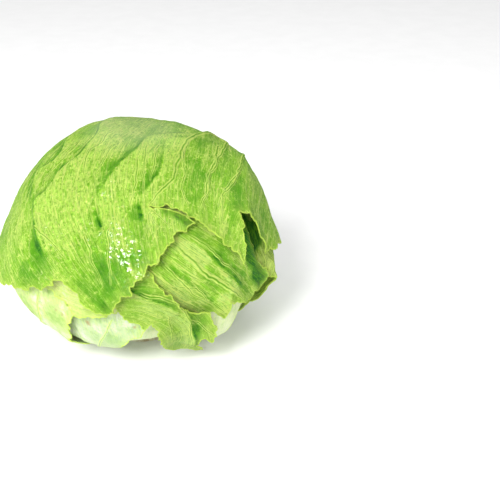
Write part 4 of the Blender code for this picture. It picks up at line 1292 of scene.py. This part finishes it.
class LETTUCE_OT_cut_stem(bpy.types.Operator):
    """Add the cut stem: a lobed plug with a browned, slightly hollow cut face"""
    bl_idname = "lettuce.cut_stem"
    bl_label = "Cut Stem"

    def execute(self, context):
        head = context.scene.lettuce_head
        low, high = STEM_BOX[0][2], STEM_BOX[1][2]
        deselect_all()
        bpy.ops.mesh.primitive_cylinder_add(
            vertices=96, radius=head.stem_radius, depth=high - low, end_fill_type="NGON",
            calc_uvs=False, location=(0.0, 0.0, (low + high) / 2))
        piece = context.active_object
        normals = np.array([face.normal.z for face in piece.data.polygons])
        level = 0.9
        edit_with(piece, "FACE", normals > level)
        bpy.ops.transform.resize(value=(head.stem_top_radius / head.stem_radius,) * 2 + (1.0,),
                                 center_override=(0.0, 0.0, high))
        leave_edit()
        edit_with(piece, "FACE", normals < -level)
        for width, step in CUT_RINGS:
            bpy.ops.mesh.inset(thickness=width * MM, depth=-step * MM)
        leave_edit()
        points = points_of(piece)
        turn = np.arctan2(points[:, 1], points[:, 0])
        large_lobe, small_lobe = 0.025, 0.015
        lobes = 1.0 + large_lobe * np.sin(3 * turn + 0.5) + small_lobe * np.sin(5 * turn)
        points[:, :2] *= lobes[:, None]
        move_points(piece, points)
        apply_modifier(piece, "BEVEL", "Edge", width=0.8 * MM, segments=3, limit_method="ANGLE",
                       angle_limit=math.radians(50))
        bpy.ops.object.shade_smooth_by_angle(angle=math.radians(50))
        settle_piece(piece, "cut_stem_plug", stem_material(context.scene.lettuce_colours))
        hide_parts("cut_stem")
        return {"FINISHED"}


class LETTUCE_OT_heart(bpy.types.Operator):
    """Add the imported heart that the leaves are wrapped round"""
    bl_idname = "lettuce.heart"
    bl_label = "Heart"

    def execute(self, context):
        head = context.scene.lettuce_head
        deselect_all()
        bpy.ops.mesh.primitive_ico_sphere_add(
            subdivisions=head.heart_detail, radius=head.radius, calc_uvs=False,
            location=(0.0, 0.0, head.centre_height))
        piece = context.active_object
        d = unit(points_of(piece))
        move_points(piece, d * heart_radius(head, d)[:, None])
        bpy.ops.object.shade_smooth_by_angle(angle=SMOOTH_ANGLE)
        settle_piece(piece, "packed_heart", heart_material(context.scene.lettuce_colours))
        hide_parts("heart")
        return {"FINISHED"}


class LETTUCE_OT_cup_leaves(bpy.types.Operator):
    """Add the four pale leaves that cup the head round its stem"""
    bl_idname = "lettuce.cup_leaves"
    bl_label = "Cup Leaves"

    def execute(self, context):
        make_leaves(context.scene, "cup")
        return {"FINISHED"}


class LETTUCE_OT_wrapper_leaves(bpy.types.Operator):
    """Add the five green leaves that wrap the head"""
    bl_idname = "lettuce.wrapper_leaves"
    bl_label = "Wrapper Leaves"

    def execute(self, context):
        make_leaves(context.scene, "wrapper")
        return {"FINISHED"}


def add_softbox(name, place, aim, size, power):
    """Square lamp at a place, turned towards what it lights."""
    lamp = bpy.data.lights.new(name, "AREA")
    lamp.shape = "SQUARE"
    lamp.size = size
    lamp.energy = power
    thing = bpy.data.objects.new(name, lamp)
    thing.location = place
    thing.rotation_euler = (Vector(aim) - Vector(place)).to_track_quat("-Z", "Y").to_euler()
    bpy.context.scene.collection.objects.link(thing)


class LETTUCE_OT_stage(bpy.types.Operator):
    """Set a white floor, soft studio lamps and the camera"""
    bl_idname = "lettuce.stage"
    bl_label = "Stage"

    def execute(self, context):
        scene = context.scene
        stage, head = scene.lettuce_stage, scene.lettuce_head
        centre = Vector((0.0, 0.0, head.centre_height))
        deselect_all()
        bpy.ops.mesh.primitive_plane_add(size=stage.floor_size, location=(0.0, 0.0, 0.0))
        floor = context.active_object
        floor.name = "floor"
        floor.data.materials.append(floor_material())
        world = bpy.data.worlds.new("white_room")
        world.use_nodes = True
        light = world.node_tree.nodes["Background"].inputs
        light["Color"].default_value = (1.0, 1.0, 1.0, 1.0)
        light["Strength"].default_value = stage.sky
        scene.world = world
        for name, place, side, power in LAMPS:
            add_softbox(name, place, centre, side, getattr(stage, power))
        camera = bpy.data.objects.new("camera", bpy.data.cameras.new("camera"))
        camera.data.lens = stage.lens
        camera.data.sensor_width = 36.0
        back = Vector((0.0, -math.cos(stage.elevation), math.sin(stage.elevation)))
        up = Vector((0.0, math.sin(stage.elevation), math.cos(stage.elevation)))
        aim = centre + Vector((stage.aim_right, 0.0, 0.0)) - up * stage.aim_down
        camera.location = aim + back * stage.distance
        camera.rotation_euler = (aim - camera.location).to_track_quat("-Z", "Y").to_euler()
        scene.collection.objects.link(camera)
        scene.camera = camera
        scene.view_settings.view_transform = "Standard"
        return {"FINISHED"}


class LETTUCE_PT_panel(bpy.types.Panel):
    """Sizes, colours and pieces of the lettuce head"""
    bl_idname = "LETTUCE_PT_panel"
    bl_label = "Iceberg Lettuce"
    bl_space_type = "VIEW_3D"
    bl_region_type = "UI"
    bl_category = "Lettuce"

    def draw(self, context):
        scene = context.scene
        for settings in (scene.lettuce_head, scene.lettuce_leaf, scene.lettuce_colours,
                         scene.lettuce_stage):
            box = self.layout.box()
            for key in settings.__annotations__:
                box.prop(settings, key)
        for operator in OPERATORS:
            self.layout.operator(operator.bl_idname)


SETTINGS = dict(lettuce_head=LettuceHeadSettings, lettuce_leaf=LettuceLeafSettings,
                lettuce_colours=LettuceColourSettings, lettuce_stage=LettuceStageSettings)
OPERATORS = (LETTUCE_OT_cut_stem, LETTUCE_OT_heart, LETTUCE_OT_cup_leaves, LETTUCE_OT_wrapper_leaves,
             LETTUCE_OT_stage)


def register():
    for kind in (*SETTINGS.values(), *OPERATORS, LETTUCE_PT_panel):
        bpy.utils.register_class(kind)
    for name, kind in SETTINGS.items():
        setattr(bpy.types.Scene, name, PointerProperty(type=kind))


def unregister():
    for name in SETTINGS:
        delattr(bpy.types.Scene, name)
    for kind in (LETTUCE_PT_panel, *OPERATORS, *SETTINGS.values()):
        bpy.utils.unregister_class(kind)


def main():
    register()
    bpy.ops.lettuce.cut_stem()
    bpy.ops.lettuce.heart()
    bpy.ops.lettuce.cup_leaves()
    bpy.ops.lettuce.wrapper_leaves()
    bpy.ops.lettuce.stage()


if __name__ == "__main__":
    main()
